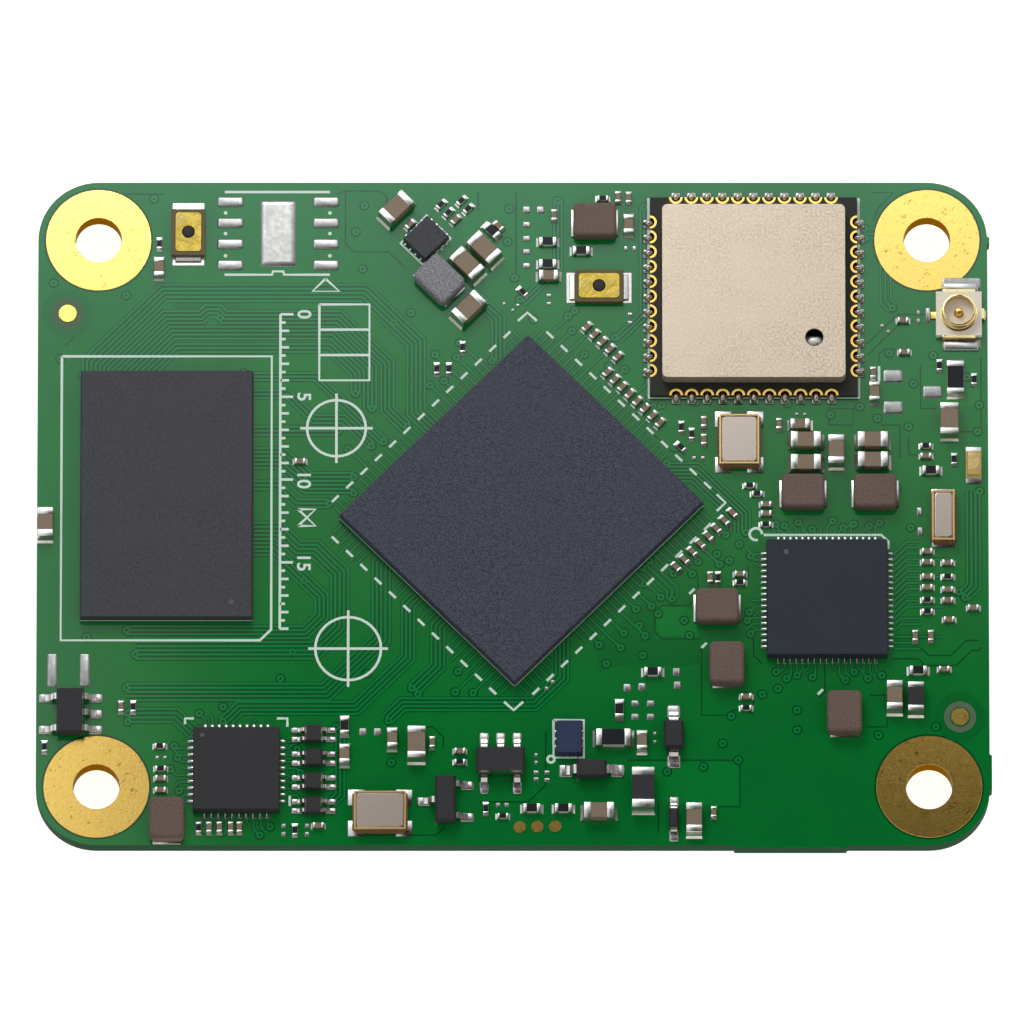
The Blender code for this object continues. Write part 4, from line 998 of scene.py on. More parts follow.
# Bare pads: (x, y, length, width)
BARE_PADS = [
    (0.8, 18.35, 0.45, 0.45), (1.6, 18.35, 0.45, 0.45), (0.8, 17.45, 0.45, 0.35), (0.8, 16.6, 0.45, 0.35),
    (0.8, 15.8, 0.45, 0.35), (0.8, 14.95, 0.45, 0.35), (6.55, 16.0, 0.22, 0.3), (7.05, 16.0, 0.22, 0.3),
    (6.8, 12.0, 0.3, 0.22), (6.8, 11.5, 0.3, 0.22), (2.1, 13.15, 0.3, 0.22), (2.1, 12.65, 0.3, 0.22),
    (-0.5, 12.65, 0.2, 0.2), (0.3, 12.55, 0.2, 0.2), (0.0, 12.25, 0.2, 0.2), (16.45, 5.95, 0.2, 0.2),
    (16.9, 5.95, 0.2, 0.2), (10.5, 3.3, 0.25, 0.25), (11.0, 3.3, 0.25, 0.25), (21.4, 11.3, 0.22, 0.22),
    (21.75, 10.95, 0.22, 0.22), (23.5, 12.1, 0.22, 0.3), (23.5, 11.6, 0.22, 0.3), (22.0, 8.25, 1.15, 0.8),
    (22.0, 6.35, 1.15, 0.8), (24.3, 7.3, 1.15, 0.75), (23.5, 0.05, 0.33, 0.55), (23.55, -1.15, 0.33, 0.55),
    (9.45, -9.6, 0.45, 0.48), (9.5, -10.4, 0.45, 0.48), (6.6, -10.55, 0.45, 0.48), (7.45, -10.5, 0.45, 0.48),
    (7.05, -11.5, 0.45, 0.38), (7.05, -12.3, 0.45, 0.38), (7.95, -11.5, 0.45, 0.38), (7.95, -12.3, 0.45, 0.38),
    (8.2, -13.3, 0.2, 0.2), (8.2, -13.8, 0.2, 0.2), (-8.65, -13.2, 0.45, 0.45), (-7.8, -13.2, 0.45, 0.45),
    (1.35, -14.6, 0.22, 0.22), (1.35, -15.05, 0.22, 0.22), (1.35, -15.65, 0.32, 0.25), (1.35, -16.05, 0.32, 0.25),
    (1.98, -15.65, 0.32, 0.25), (1.98, -16.1, 0.32, 0.25), (-0.85, -17.6, 0.28, 0.28), (-0.35, -17.6, 0.28, 0.28),
    (-20.5, -14.75, 0.22, 0.22), (-20.05, -14.75, 0.22, 0.22), (-13.2, -18.85, 0.28, 0.28),
    (-13.2, -19.35, 0.28, 0.28), (-11.85, -18.85, 0.28, 0.28), (-11.85, -19.35, 0.28, 0.28),
    (2.3, -10.2, 0.25, 0.25), (1.95, -10.6, 0.25, 0.25), (-26.58, -9.5, 0.58, 2.0), (-24.7, -9.5, 0.58, 2.0),
    (24.05, 11.95, 0.3, 0.9), (26.0, 13.85, 2.25, 0.75), (26.0, 10.2, 2.2, 0.75),
]
TEST_POINTS = [(0.4, -18.93), (1.42, -18.9), (2.45, -18.88)]
FIDUCIALS = [(-25.78, 12.05), (25.8, -12.3)]

PRINT_FRAMES = [
    [(-26.1, 9.45), (-26.1, -7.7), (-14.6, -7.7), (-13.95, -7.05), (-13.95, 9.45), (-26.1, 9.45)],
    [(7.87, 19.05), (7.87, 6.95), (20.05, 6.95), (20.05, 19.05)],
    [(-4.95, 18.05), (-6.5, 16.3), (-5.2, 15.0), (-3.6, 16.6), (-4.4, 17.4)],
    [(2.35, -12.5), (4.1, -12.5), (4.1, -14.75), (2.35, -14.75), (2.35, -12.5)],
    [(14.5, -1.35), (21.3, -1.35), (21.7, -1.75), (21.7, -2.2)], [(21.2, 7.95), (21.2, 8.85)],
    [(-16.7, 19.42), (-10.6, 19.42)],
    [(-16.7, 14.4), (-13.95, 14.4), (-13.9, 14.6), (-13.3, 14.6), (-13.25, 14.4), (-10.6, 14.4)],
    [(-10.85, 14.15), (-11.6, 13.4), (-10.05, 13.4), (-10.85, 14.15)],
    [(10.2, -4.9), (10.5, -4.6)], [(10.9, -8.15), (11.2, -7.85)], [(17.6, -10.95), (17.9, -10.65)],
    [(-12.85, -17.05), (-12.85, -17.65)],
    [(-18.9, -12.75), (-18.9, -12.4), (-18.4, -12.4)], [(-13.6, -12.4), (-13.0, -12.4), (-13.0, -12.9)],
    [(0.3, 11.6), (0.85, 12.1), (1.4, 11.6)], [(11.8, 1.1), (12.3, 0.6), (11.8, 0.1)],
    [(-0.5, -11.4), (0.05, -11.9), (0.6, -11.4)],
    [(-12.4, 0.2), (-11.4, 0.2), (-11.9, -0.3), (-12.4, 0.2)],
    [(-12.4, -0.8), (-11.4, -0.8), (-11.9, -0.3), (-12.4, -0.8)],
]


class BuilderOperator:
    """What the builder's operators share."""

    bl_options = {"REGISTER", "UNDO"}


def screw_spots():
    """The centres of the four gold rings."""
    return [
        tuple(centre) for height, centre, _, length, _ in board_features()
        if height == COPPER_RISE and length > RING_LEAST
    ]


def spaced(spots, gap, ring_gap, level):
    """Places for vias at those of some spots that keep a gap between them and to the screw holes."""
    kept = []
    for x, y in spots:
        near_ring = any(math.hypot(x * MM - cx, y * MM - cy) < ring_gap * MM for cx, cy in screw_spots())
        if not near_ring and all(math.hypot(x - ox, y - oy) > gap for ox, oy in kept):
            kept.append((x, y))
    return [(x * MM, y * MM, level + k % 7 * VIA_STEP, 0.0) for k, (x, y) in enumerate(kept)]


class MODULE_OT_board(BuilderOperator, bpy.types.Operator):
    """Board with its lacquer, sawn edges and gold rings"""

    bl_idname = "module.board"
    bl_label = "Board"

    def execute(self, context):
        outline = self.outline()
        board = bmesh.new()
        close_up(board, [
            [board.verts.new((x, y, level)) for x, y in outline] for level in (BOARD_BOTTOM, BOARD_TOP)
        ])
        for face in board.faces:
            face.material_index = 0 if abs(face.normal.z) > 0.5 else 1
        self.drill(add_piece("board_lacquer", board, ["mask", "laminate", "gold"], "board", "circuit_board"))
        self.rings()
        return {"FINISHED"}

    def outline(self):
        """The board's outline with its tab stubs, read from the CAD board's rim at half its thickness."""
        shape = cad_copy("circuit_board")
        cut = bmesh.ops.bisect_plane(
            shape, geom=list(shape.verts) + list(shape.edges) + list(shape.faces),
            plane_co=(0, 0, (BOARD_BOTTOM + BOARD_TOP) / 2), plane_no=(0, 0, 1),
        )["geom_cut"]
        edges = [item for item in cut if isinstance(item, bmesh.types.BMEdge)]
        loops = []
        while edges:
            loop = list(edges.pop(0).verts)
            while loop[-1] is not loop[0]:
                following = next(item for item in loop[-1].link_edges if item in edges)
                edges.remove(following)
                loop.append(following.other_vert(loop[-1]))
            loops.append([tuple(corner.co.xy) for corner in loop[:-1]])
        shape.free()
        return max(loops, key=lambda loop: max(abs(x) for x, _ in loop) + max(abs(y) for _, y in loop))

    def drill(self, piece):
        """Cut the four screw holes, plated inside."""
        outline = ring_outline(SCREW_HOLE, 48)
        drills = join_shapes(*[
            placed(prism(outline, BOARD_BOTTOM - MM, BOARD_THICKNESS + 2 * MM), x, y) for x, y in screw_spots()
        ])
        tool = new_object("drills", mesh_of("drills", drills))
        tool.data.materials.append(FINISH["bore"])
        step = piece.modifiers.new("Holes", "BOOLEAN")
        step.operation = "DIFFERENCE"
        step.solver = "EXACT"
        step.material_mode = "TRANSFER"
        step.object = tool
        made = evaluated_mesh(piece)
        piece.modifiers.remove(step)
        piece.data = made
        bpy.data.objects.remove(tool)

    def rings(self):
        """The holes' plating, bare gold rings round them on both faces, and a gap in the copper beyond."""
        ring = max(length for height, _, _, length, _ in board_features() if height == COPPER_RISE)
        shapes = []
        for x, y in screw_spots():
            # The walls take the hole wall finish, whose darker colour is painted shade
            wall = tube(SCREW_HOLE - 0.02 * MM, SCREW_HOLE + 0.02 * MM, BOARD_BOTTOM, BOARD_THICKNESS, RING_STEPS)
            shapes.append((placed(wall, x, y), 1))
            for level in (BOARD_TOP - 0.01 * MM, BOARD_BOTTOM - 0.03 * MM):
                face = soften(tube(SCREW_HOLE, ring, level, 0.04 * MM, RING_STEPS), 0.012 * MM, 1, 60)
                shapes.append((placed(face, x, y), 0))
            gap = tube(ring - 0.1 * MM, ring + 0.22 * MM, GAP_LEVEL, 0.0095 * MM, RING_STEPS)
            shapes.append((placed(gap, x, y), 2))
        add_piece("screw_rings", join_shapes(*shapes), ["gold", "bore", "mask_bare"], "gold")


class MODULE_OT_copper(BuilderOperator, bpy.types.Operator):
    """Tracks and vias under the lacquer, bare pads, test points and fiducials"""

    bl_idname = "module.copper"
    bl_label = "Copper"

    def execute(self, context):
        look = context.scene.module_board
        laid, ends = [], []
        for path, count, pitch in TRACK_BUNDLES:
            made = bundle(path, count, pitch)
            laid += made
            ends += [line[0] for line in made[::2]] + [line[-1] for line in made[1::2]]
        lines, vias = fan_out(laid)
        lines += laid
        ribbons("track_gaps", lines, GAP_LEVEL, look.track_width + 2 * look.clearance, 0.01 * MM, "mask_bare")
        ribbons("pour_gaps", POUR_GAPS, GAP_LEVEL, 0.08 * MM, 0.01 * MM, "mask_bare")
        ribbons("tracks", lines, LAY_LEVEL, look.track_width, look.track_height, "track")
        spots = spaced(vias + ends + LOOSE_VIAS, 0.5, 3.4, LAY_LEVEL)
        copies("via_gaps", prism(ring_outline(0.6 * MM, 16), 0, 0.0063 * MM), spots, "mask_bare", "board")
        copies("vias", tube(0.16 * MM, 0.44 * MM, 0, 0.023 * MM, 14), spots, "track", "board")
        copies("via_middles", prism(ring_outline(0.2 * MM, 10), 0, 0.0215 * MM), spots, "mask_bare", "board")
        zones = [
            (prism([(x * MM, y * MM) for x, y in outline], LAY_LEVEL, 0.0035 * MM), 0 if lighter else 1)
            for lighter, outline in ZONES
        ]
        add_piece("copper_areas", join_shapes(*zones), ["mask_pale", "mask_dim"], "board")
        self.pads(look)
        return {"FINISHED"}

    def pads(self, look):
        pads = []
        for x, y, length, width in BARE_PADS:
            height = min(look.pad_height, 0.2 * min(length, width) * MM)
            pads.append(placed(pillow(length * MM, width * MM, height), x * MM, y * MM, BOARD_TOP - 0.001 * MM))
        for height, centre, turn, length, width in board_features():
            if height == COPPER_RISE and length < RING_LEAST:
                pads.append(placed(pillow(length, width, 0.1 * MM, 0.12 * MM), *centre, BOARD_TOP, turn))
        add_piece("bare_pads", join_shapes(*pads), ["bare_pad"], "shield_metal", sharp=70)
        points = [
            placed(prism(ring_outline(0.72 * MM, 24), 0, look.pad_height, 0.01 * MM), x * MM, y * MM, BOARD_TOP)
            for x, y in TEST_POINTS
        ]
        for x, y in FIDUCIALS:
            dot = prism(ring_outline(1.05 * MM, 32), 0, look.pad_height, 0.01 * MM)
            ring = tube(1.2 * MM, 1.85 * MM, 0, 0.008 * MM, 40)
            zone = tube(1.05 * MM, 2.95 * MM, 0, 0.005 * MM, 48)
            points += [(placed(shape, x * MM, y * MM, BOARD_TOP), k) for k, shape in enumerate((dot, ring, zone))]
        add_piece("test_points", join_shapes(*points), ["gold", "uncoated", "mask_dim"], "gold")


class MODULE_OT_print(BuilderOperator, bpy.types.Operator):
    """White printed frames, dashes, scale and targets"""

    bl_idname = "module.print"
    bl_label = "Print"

    def execute(self, context):
        look = context.scene.module_board
        paths = PRINT_FRAMES + self.dashes() + self.scale() + self.targets()
        ribbons("print_lines", paths, LAY_LEVEL, look.print_width, look.print_height, "printing")
        dots = [(x * MM, y * MM, BOARD_TOP, 0.0) for x in (-16.65, -10.6) for y in (18.15, 16.9, 15.55)]
        shape = prism(ring_outline(0.22 * MM, 12), 0, look.print_height)
        copies("print_dots", shape, dots, "printing", "board")
        self.numbers(look)
        return {"FINISHED"}

    def dashes(self):
        """A dashed rectangle round the processor, a little outside its edge."""
        centre, turn, length, width = node_lie("processor")
        along, across = axes(turn)
        half_length, half_width = length / MM / 2 + 1.02, width / MM / 2 + 1.0
        pitch, dash, first_gap = 1.145, 0.55, 0.26
        corners = [
            centre / MM + along * half_length * a + across * half_width * b
            for a, b in ((1, 1), (-1, 1), (-1, -1), (1, -1))
        ]
        paths = []
        for start, end in zip(corners, corners[1:] + corners[:1]):
            count = round((end - start).length / pitch)
            step = (end - start) / count
            for k in range(1, count - 1):
                first = start + step * (k + first_gap)
                paths.append([tuple(first), tuple(first + step.normalized() * dash)])
        return paths

    def scale(self):
        """A plain millimetre scale beside the memory."""
        ticks, pitch = 39, 0.5
        paths = [[(SCALE_X, SCALE_TOP), (SCALE_X, SCALE_TOP - (ticks - 1) * pitch)]]
        for k in range(ticks):
            y = SCALE_TOP - k * pitch
            reach = 0.75 if k % 10 == 0 else 0.5 if k % 2 == 0 else 0.3
            paths.append([(SCALE_X, y), (SCALE_X + reach, y)])
        return paths

    def targets(self):
        """Round targets and a write-on box where such boards have print."""
        paths = []
        for x, y, radius in ((-10.2, 5.1, 1.7), (-9.5, -8.2, 1.9)):
            reach = radius + 0.4
            paths += [arc(x, y, radius, 32), [(x - reach, y), (x + reach, y)], [(x, y - reach), (x, y + reach)]]
        paths += [arc(14.05, -1.3, 0.36, 16, 0.8), arc(2.2, -14.85, 0.2, 16)]
        paths.append([(-11.2, 12.6), (-8.3, 12.6), (-8.3, 8.0), (-11.2, 8.0), (-11.2, 12.6)])
        return paths + [[(-11.2, y), (-8.3, y)] for y in (11.07, 9.53)]

    def numbers(self, look):
        """Numbers on the scale, read from the right."""
        shapes = []
        for k in range(4):
            text = bpy.data.curves.new("number", "FONT")
            text.body = str(k * 5)
            text.size = 1.1 * MM
            text.extrude = look.print_height / 2
            text.offset = 0.02 * MM
            text.align_x, text.align_y = "CENTER", "BOTTOM"
            holder = new_object("number", text)
            shape = bmesh.new()
            shape.from_mesh(evaluated_mesh(holder))
            bmesh.ops.remove_doubles(shape, verts=shape.verts, dist=0.001 * MM)
            level = BOARD_TOP + look.print_height / 2
            shapes.append(placed(shape, (SCALE_X + 0.79) * MM, (SCALE_TOP - 5 * k) * MM, level, -math.pi / 2))
            bpy.data.objects.remove(holder)
        add_piece("scale_numbers", join_shapes(*shapes), ["printing"], "board")


# The underside, in millimetres from the board's centre
UNDER_BUNDLES = [
    ([(-22.2, 8.4), (-16.4, 8.4), (-12.6, 4.6), (-10.6, 4.6)], 6, -0.4),
    ([(-22.2, 2.3), (-14.5, 2.3), (-13.1, 0.9), (-10.9, 0.9)], 6, -0.4),
    ([(-22.2, -8.4), (-16.4, -8.4), (-12.8, -4.8), (-10.6, -4.8)], 6, 0.4),
    ([(-8.8, 14.8), (-8.8, 11.6), (-9.9, 10.5), (-9.9, 8.3)], 6, 0.4),
    ([(-2.2, 14.8), (-2.2, 10.2), (-0.8, 8.8), (-0.8, 7.5)], 8, 0.4),
    ([(4.6, 14.8), (4.6, 9.6), (3.6, 8.6), (3.6, 7.5)], 8, 0.4),
    ([(-8.8, -14.8), (-8.8, -12.3), (-7.4, -10.9), (-7.4, -9.3)], 6, -0.4),
    ([(-1.8, -14.8), (-1.8, -9.6), (-0.6, -8.4), (-0.6, -7.5)], 8, -0.4),
    ([(5.2, -14.8), (5.2, -10.2), (6.4, -9.0), (6.4, -7.5)], 7, -0.4),
    ([(11.3, 5.4), (14.2, 5.4), (17.0, 2.6), (17.0, -0.8)], 6, 0.4),
    ([(11.3, -5.2), (14.8, -5.2), (18.4, -1.6), (23.6, -1.6)], 5, -0.4),
]
UNDER_FRAMES = [
    [(-11.7, 14.4), (11.7, 14.4), (11.7, 18.6), (-11.7, 18.6), (-11.7, 14.4)],
    [(-11.7, -18.6), (11.7, -18.6), (11.7, -14.4), (-11.7, -14.4), (-11.7, -18.6)],
    [(-26.3, -11.7), (-21.8, -11.7), (-21.8, 11.7), (-26.3, 11.7), (-26.3, -11.7)],
    [(-1.9, -7.1), (10.9, -7.1), (10.9, 7.1), (-1.2, 7.1), (-1.9, 6.4), (-1.9, -7.1)],
    [(-12.6, 15.2), (-12.6, 14.2), (-12.1, 14.7), (-12.6, 15.2)],
    [(-12.6, -17.8), (-12.6, -18.8), (-12.1, -18.3), (-12.6, -17.8)],
    [(-21.2, 11.4), (-21.2, 12.4), (-21.7, 11.9), (-21.2, 11.4)],
]


class MODULE_OT_underside(BuilderOperator, bpy.types.Operator):
    """Tracks, vias, print, test points and small chips on the underside"""

    bl_idname = "module.underside"
    bl_label = "Underside"

    def execute(self, context):
        look = context.scene.module_board
        lines = [line for path, count, pitch in UNDER_BUNDLES for line in bundle(path, count, pitch)]
        clear = look.track_width + 2 * look.clearance
        ribbons("under_gaps", lines, BOARD_BOTTOM - 0.008 * MM, clear, 0.012 * MM, "mask_bare")
        ribbons("under_tracks", lines, BOARD_BOTTOM - 0.016 * MM, look.track_width, 0.018 * MM, "track")
        vias = [line[-1] for line in lines] + [(x, y) for x, y in LOOSE_VIAS if not self.covered(x, y, 0.4)]
        spots = spaced(vias, 0.36, 3.5, BOARD_BOTTOM)
        gap = prism(ring_outline(0.56 * MM, 16), -0.0085 * MM, 0.01 * MM)
        copies("under_via_gaps", gap, spots, "mask_bare", "board")
        copies("under_vias", tube(0.16 * MM, 0.42 * MM, -0.02 * MM, 0.022 * MM, 14), spots, "track", "board")
        level = BOARD_BOTTOM - look.print_height * 0.9
        ribbons("under_print", UNDER_FRAMES, level, look.print_width, look.print_height, "printing")
        points = [
            ((13.6 + 1.5 * column) * MM, (-8.2 - 1.5 * row) * MM, BOARD_BOTTOM, 0.0)
            for row in range(3) for column in range(5)
        ]
        copies("under_points", prism(ring_outline(0.9 * MM, 24), -0.03 * MM, 0.035 * MM), points, "gold", "gold")
        self.chips()
        return {"FINISHED"}

    def covered(self, x, y, margin):
        """Whether a plug or the flash package stands over a place."""
        for node in (*PLUGS, "flash_storage"):
            low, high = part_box(node)
            if low.x / MM - margin < x < high.x / MM + margin and low.y / MM - margin < y < high.y / MM + margin:
                return True
        return False

    def chips(self):
        """Rows of small capacitors behind the processor, and larger ones to the right, as such boards have them."""
        centre, turn, _, _ = node_lie("processor")
        along, across = axes(turn)
        pitch, row_pitch, margin = 1.35, 1.75, 1.1
        small = []
        for row in range(-3, 4):
            for column in range(-4, 5):
                spot = centre + (along * column * pitch + across * row * row_pitch) * MM
                if (row + column * 2) % 5 and not self.covered(spot.x / MM, spot.y / MM, margin):
                    small.append((*spot, BOARD_BOTTOM, turn))
        large = [
            ((13.8 + 1.4 * k) * MM, y * MM, BOARD_BOTTOM, math.pi / 2)
            for y, count in ((10.2, 6), (8.0, 4)) for k in range(count)
        ]
        for name, size, places in (("under_small", (0.6, 0.3, 0.3), small), ("under_large", (1.0, 0.5, 0.5), large)):
            body, _, ends = chip_shapes(*(value * MM for value in size), "capacitor")
            for shape, part, finish, slot in (
                (body, "bodies", "capacitor", "capacitor_body"), (ends, "ends", "terminal", "shield_metal"),
            ):
                shape.transform(Matrix.Rotation(math.pi, 4, "X"))
                copies(f"{name}_{part}", shape, places, finish, slot)


# Two-ended chips: the micrometres that each family stands over the board
CHIP_FAMILIES = {
    230: ("tiny_resistors", "resistor"), 320: ("tiny_capacitors", "capacitor"), 360: ("small_resistors", "resistor"),
    550: ("small_capacitors", "capacitor"), 850: ("medium_capacitors", "capacitor"),
}


def chip_shapes(length, width, height, kind, cap_share=0.24):
    """Body, glaze or None, ends with their solder, for a chip along X that stands at Z = 0."""
    cap = max(length * cap_share, 0.14 * MM)
    skin = min(0.02 * MM, width * 0.05)
    body = prism(box_outline(length - 2 * skin, width - 2 * skin), 0.02 * MM, height - skin - 0.02 * MM)
    soften(body, skin * 1.5, 1)
    glaze = None
    if kind == "resistor":
        glaze = prism(box_outline(length - 1.7 * cap, width - 3 * skin), height - 0.6 * skin, 0.9 * skin)
    reach, rise = min(0.2 * MM, length * 0.17), height * 0.6
    near, far = length / 2 - 0.02 * MM, length / 2 + reach
    profile = [(near, 0), (far, 0), (far, 0.025 * MM), (near + reach * 0.45, rise * 0.32), (near, rise)]
    ends = []
    for side, turn in ((-1, math.pi), (1, 0.0)):
        metal = soften(prism(box_outline(cap, width), 0, height), min(0.045 * MM, width * 0.12), 2)
        solder = bmesh.new()
        close_up(solder, [
            [
                solder.verts.new((x, lean * (width / 2 + (0.02 * MM if z < 0.03 * MM else -0.02 * MM)), z))
                for x, z in profile
            ]
            for lean in (-1, 1)
        ])
        ends += [placed(metal, side * (length - cap) / 2), placed(solder, turn=turn)]
    return body, glaze, join_shapes(*ends)


class MODULE_OT_chips(BuilderOperator, bpy.types.Operator):
    """All two-ended chips with their solder"""

    bl_idname = "module.chips"
    bl_label = "Chips"

    def execute(self, context):
        families = {}
        for height, *lie in board_features():
            if height in CHIP_FAMILIES:
                families.setdefault(height, []).append(lie)
        for height, found in families.items():
            name, kind = CHIP_FAMILIES[height]
            length, width = (sorted(item[k] for item in found)[len(found) // 2] for k in (2, 3))
            body, glaze, ends = chip_shapes(length, width, height * 0.001 * MM, kind)
            places = [(*centre, BOARD_TOP, turn) for centre, turn, _, _ in found]
            copies(name, body, places, "alumina" if glaze else kind, "capacitor_body")
            copies(f"{name}_ends", ends, places, "terminal", "shield_metal")
            if glaze:
                copies(f"{name}_glaze", glaze, places, "resistor", "mould")
        for node in sorted(node for node in NODES if node.startswith("bulk_capacitor")):
            self.single(node, "capacitor", "capacitor_body")
        for node in ("sense_resistor", "antenna_resistor"):
            self.single(node, "resistor", "mould")
        for node in ("filter_coil", "power_bead"):
            self.single(node, "network_mould", "mould")
        return {"FINISHED"}

    def single(self, node, finish, slot):
        """A larger chip that stands for a node of its own."""
        centre, turn, length, width = node_lie(node)
        body, glaze, ends = chip_shapes(length, width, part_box(node)[1].z - BOARD_TOP, finish, 0.2)
        shape = join_shapes(body, (ends, 1), *([(glaze, 2)] if glaze else []))
        finishes = ["alumina" if glaze else finish, "terminal", "resistor"]
        add_piece(f"{node}_dressed", placed(shape, *centre, BOARD_TOP, turn), finishes, slot, node)


# Packages
def dressed(node, finishes, slot, width=None, metal_outside=None, lower=None, segments=2, sharp=25):
    """A CAD node's own shape with soft edges; faces outside a rectangle, or below a level, take other finishes."""
    look = bpy.context.scene.module_packages
    shape = cad_copy(node)
    centre, turn, length, across = metal_outside or (Vector((0, 0)), 0, 1, 1)
    along, aside = axes(turn)
    for face in shape.faces:
        middle = face.calc_center_median()
        offset = middle.xy - centre
        outside = abs(offset.dot(along)) > length / 2 or abs(offset.dot(aside)) > across / 2
        face.material_index = 1 if outside or (lower is not None and middle.z < lower) else 0
    soften(shape, look.edge if width is None else width, segments)
    return add_piece(f"{node}_dressed", shape, finishes, slot, node, sharp=sharp)


def top_lie(node, margin=0.0):
    """The rectangle of a node's highest face, grown by a margin."""
    corners = [vertex.co for vertex in NODES[node].data.vertices]
    top = max(corner.z for corner in corners)
    centre, turn, length, width = lie_of([corner.xy for corner in corners if corner.z > top - 0.001 * MM])
    return centre, turn, length + 2 * margin, width + 2 * margin


def pin_mark(name, node, along_share, across_share, diameter):
    """The round dent that marks a package's first contact."""
    centre, turn, length, width = top_lie(node)
    along, across = axes(turn)
    spot = centre + along * length * along_share + across * width * across_share
    shape = prism(ring_outline(diameter, 20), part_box(node)[1].z - 0.002 * MM, 0.004 * MM)
    add_piece(name, placed(shape, *spot), ["mark"], "mould")


def side_places(node, count, pitch, out, level):
    """Places along the four sides of a square package, facing outwards."""
    centre, turn, length, width = node_lie(node)
    places = []
    for quarter in range(4):
        facing = turn + quarter * math.pi / 2
        side, run = axes(facing)
        reach = (length if quarter % 2 == 0 else width) / 2 + out
        for k in range(count):
            places.append((*(centre + side * reach + run * (k - (count - 1) / 2) * pitch), level, facing))
    return places


def end_pads(name, node, reach, share, height, inset, edge=0.03, segments=2):
    """Tinned pads under both ends of a part, as wide as a share of it; the sizes are in millimetres."""
    centre, turn, length, width = node_lie(node)
    outline = box_outline(reach * MM, width * share)
    pads = [
        placed(soften(prism(outline, 0, height * MM), edge * MM, segments), end * (length / 2 - inset * MM))
        for end in (-1, 1)
    ]
    add_piece(name, placed(join_shapes(*pads), *centre, BOARD_TOP, turn), ["tin"], "shield_metal")


class MODULE_OT_packages(BuilderOperator, bpy.types.Operator):
    """Processor, memory, flash and the leadless chips"""

    bl_idname = "module.packages"
    bl_label = "Packages"

    def execute(self, context):
        ball = context.scene.module_packages.ball
        for node, slot, pitch, substrate in (("processor", "array_mould", 0.65, 0.28), ("memory", "mould", 0.5, 0.2)):
            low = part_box(node)[0].z
            # Faces below the substrate's top take the substrate finish, whose pale colour paints a highlight along the
            # lower edge
            dressed(node, [slot, "substrate"], slot, lower=low + substrate * MM + 0.001 * MM)
            self.balls(f"{node}_balls", node, pitch * MM, (BOARD_TOP + low) / 2, ball)
        dressed("flash_storage", ["mould", "substrate"], "mould")
        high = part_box("flash_storage")[1].z
        self.balls("flash_balls", "flash_storage", 0.5 * MM, (BOARD_BOTTOM + high) / 2, ball)
        for node, finish in (
            ("power_controller", "power_mould"), ("network_transceiver", "network_mould"),
            ("step_down_regulator", "mould"), ("load_switch", "blue_mould"),
        ):
            dressed(node, [finish], "mould")
        for name, node, size, out in (
            ("power", "power_controller", (0.5, 0.19, 0.1), 0.08),
            ("network", "network_transceiver", (0.5, 0.21, 0.1), 0.08),
            ("regulator", "step_down_regulator", (0.32, 0.22, 0.08), 0.02),
            ("load_switch", "load_switch", (0.2, 0.2, 0.06), 0.0),
        ):
            count, pitch = CONTACTS[node]
            contact = pillow(*(value * MM for value in size))
            places = side_places(node, count, pitch * MM, out * MM, BOARD_TOP)
            copies(f"{name}_contacts", contact, places, "contact", "shield_metal", sharp=70)
        pin_mark("power_pin_mark", "power_controller", -0.34, 0.39, 0.3 * MM)
        pin_mark("network_pin_mark", "network_transceiver", -0.4, 0.4, 0.26 * MM)
        pin_mark("memory_pin_mark", "memory", -0.44, -0.38, 0.3 * MM)
        return {"FINISHED"}

    def balls(self, name, node, pitch, level, diameter):
        """The two outer rows of a package's solder balls, which are all that can be seen."""
        centre, turn, length, width = node_lie(node)
        along, across = axes(turn)
        columns, rows = (int((reach - 0.6 * MM) / pitch) for reach in (length, width))
        ball = bmesh.new()
        bmesh.ops.create_icosphere(ball, subdivisions=2, radius=diameter / 2)
        places = []
        for column in range(columns):
            for row in range(rows):
                if min(column, row, columns - 1 - column, rows - 1 - row) < 2:
                    spot = along * (column - (columns - 1) / 2) + across * (row - (rows - 1) / 2)
                    places.append((*(centre + spot * pitch), level, turn, (1, 1, BALL_GAP / diameter)))
        copies(name, ball, places, "tin", "shield_metal", sharp=60)


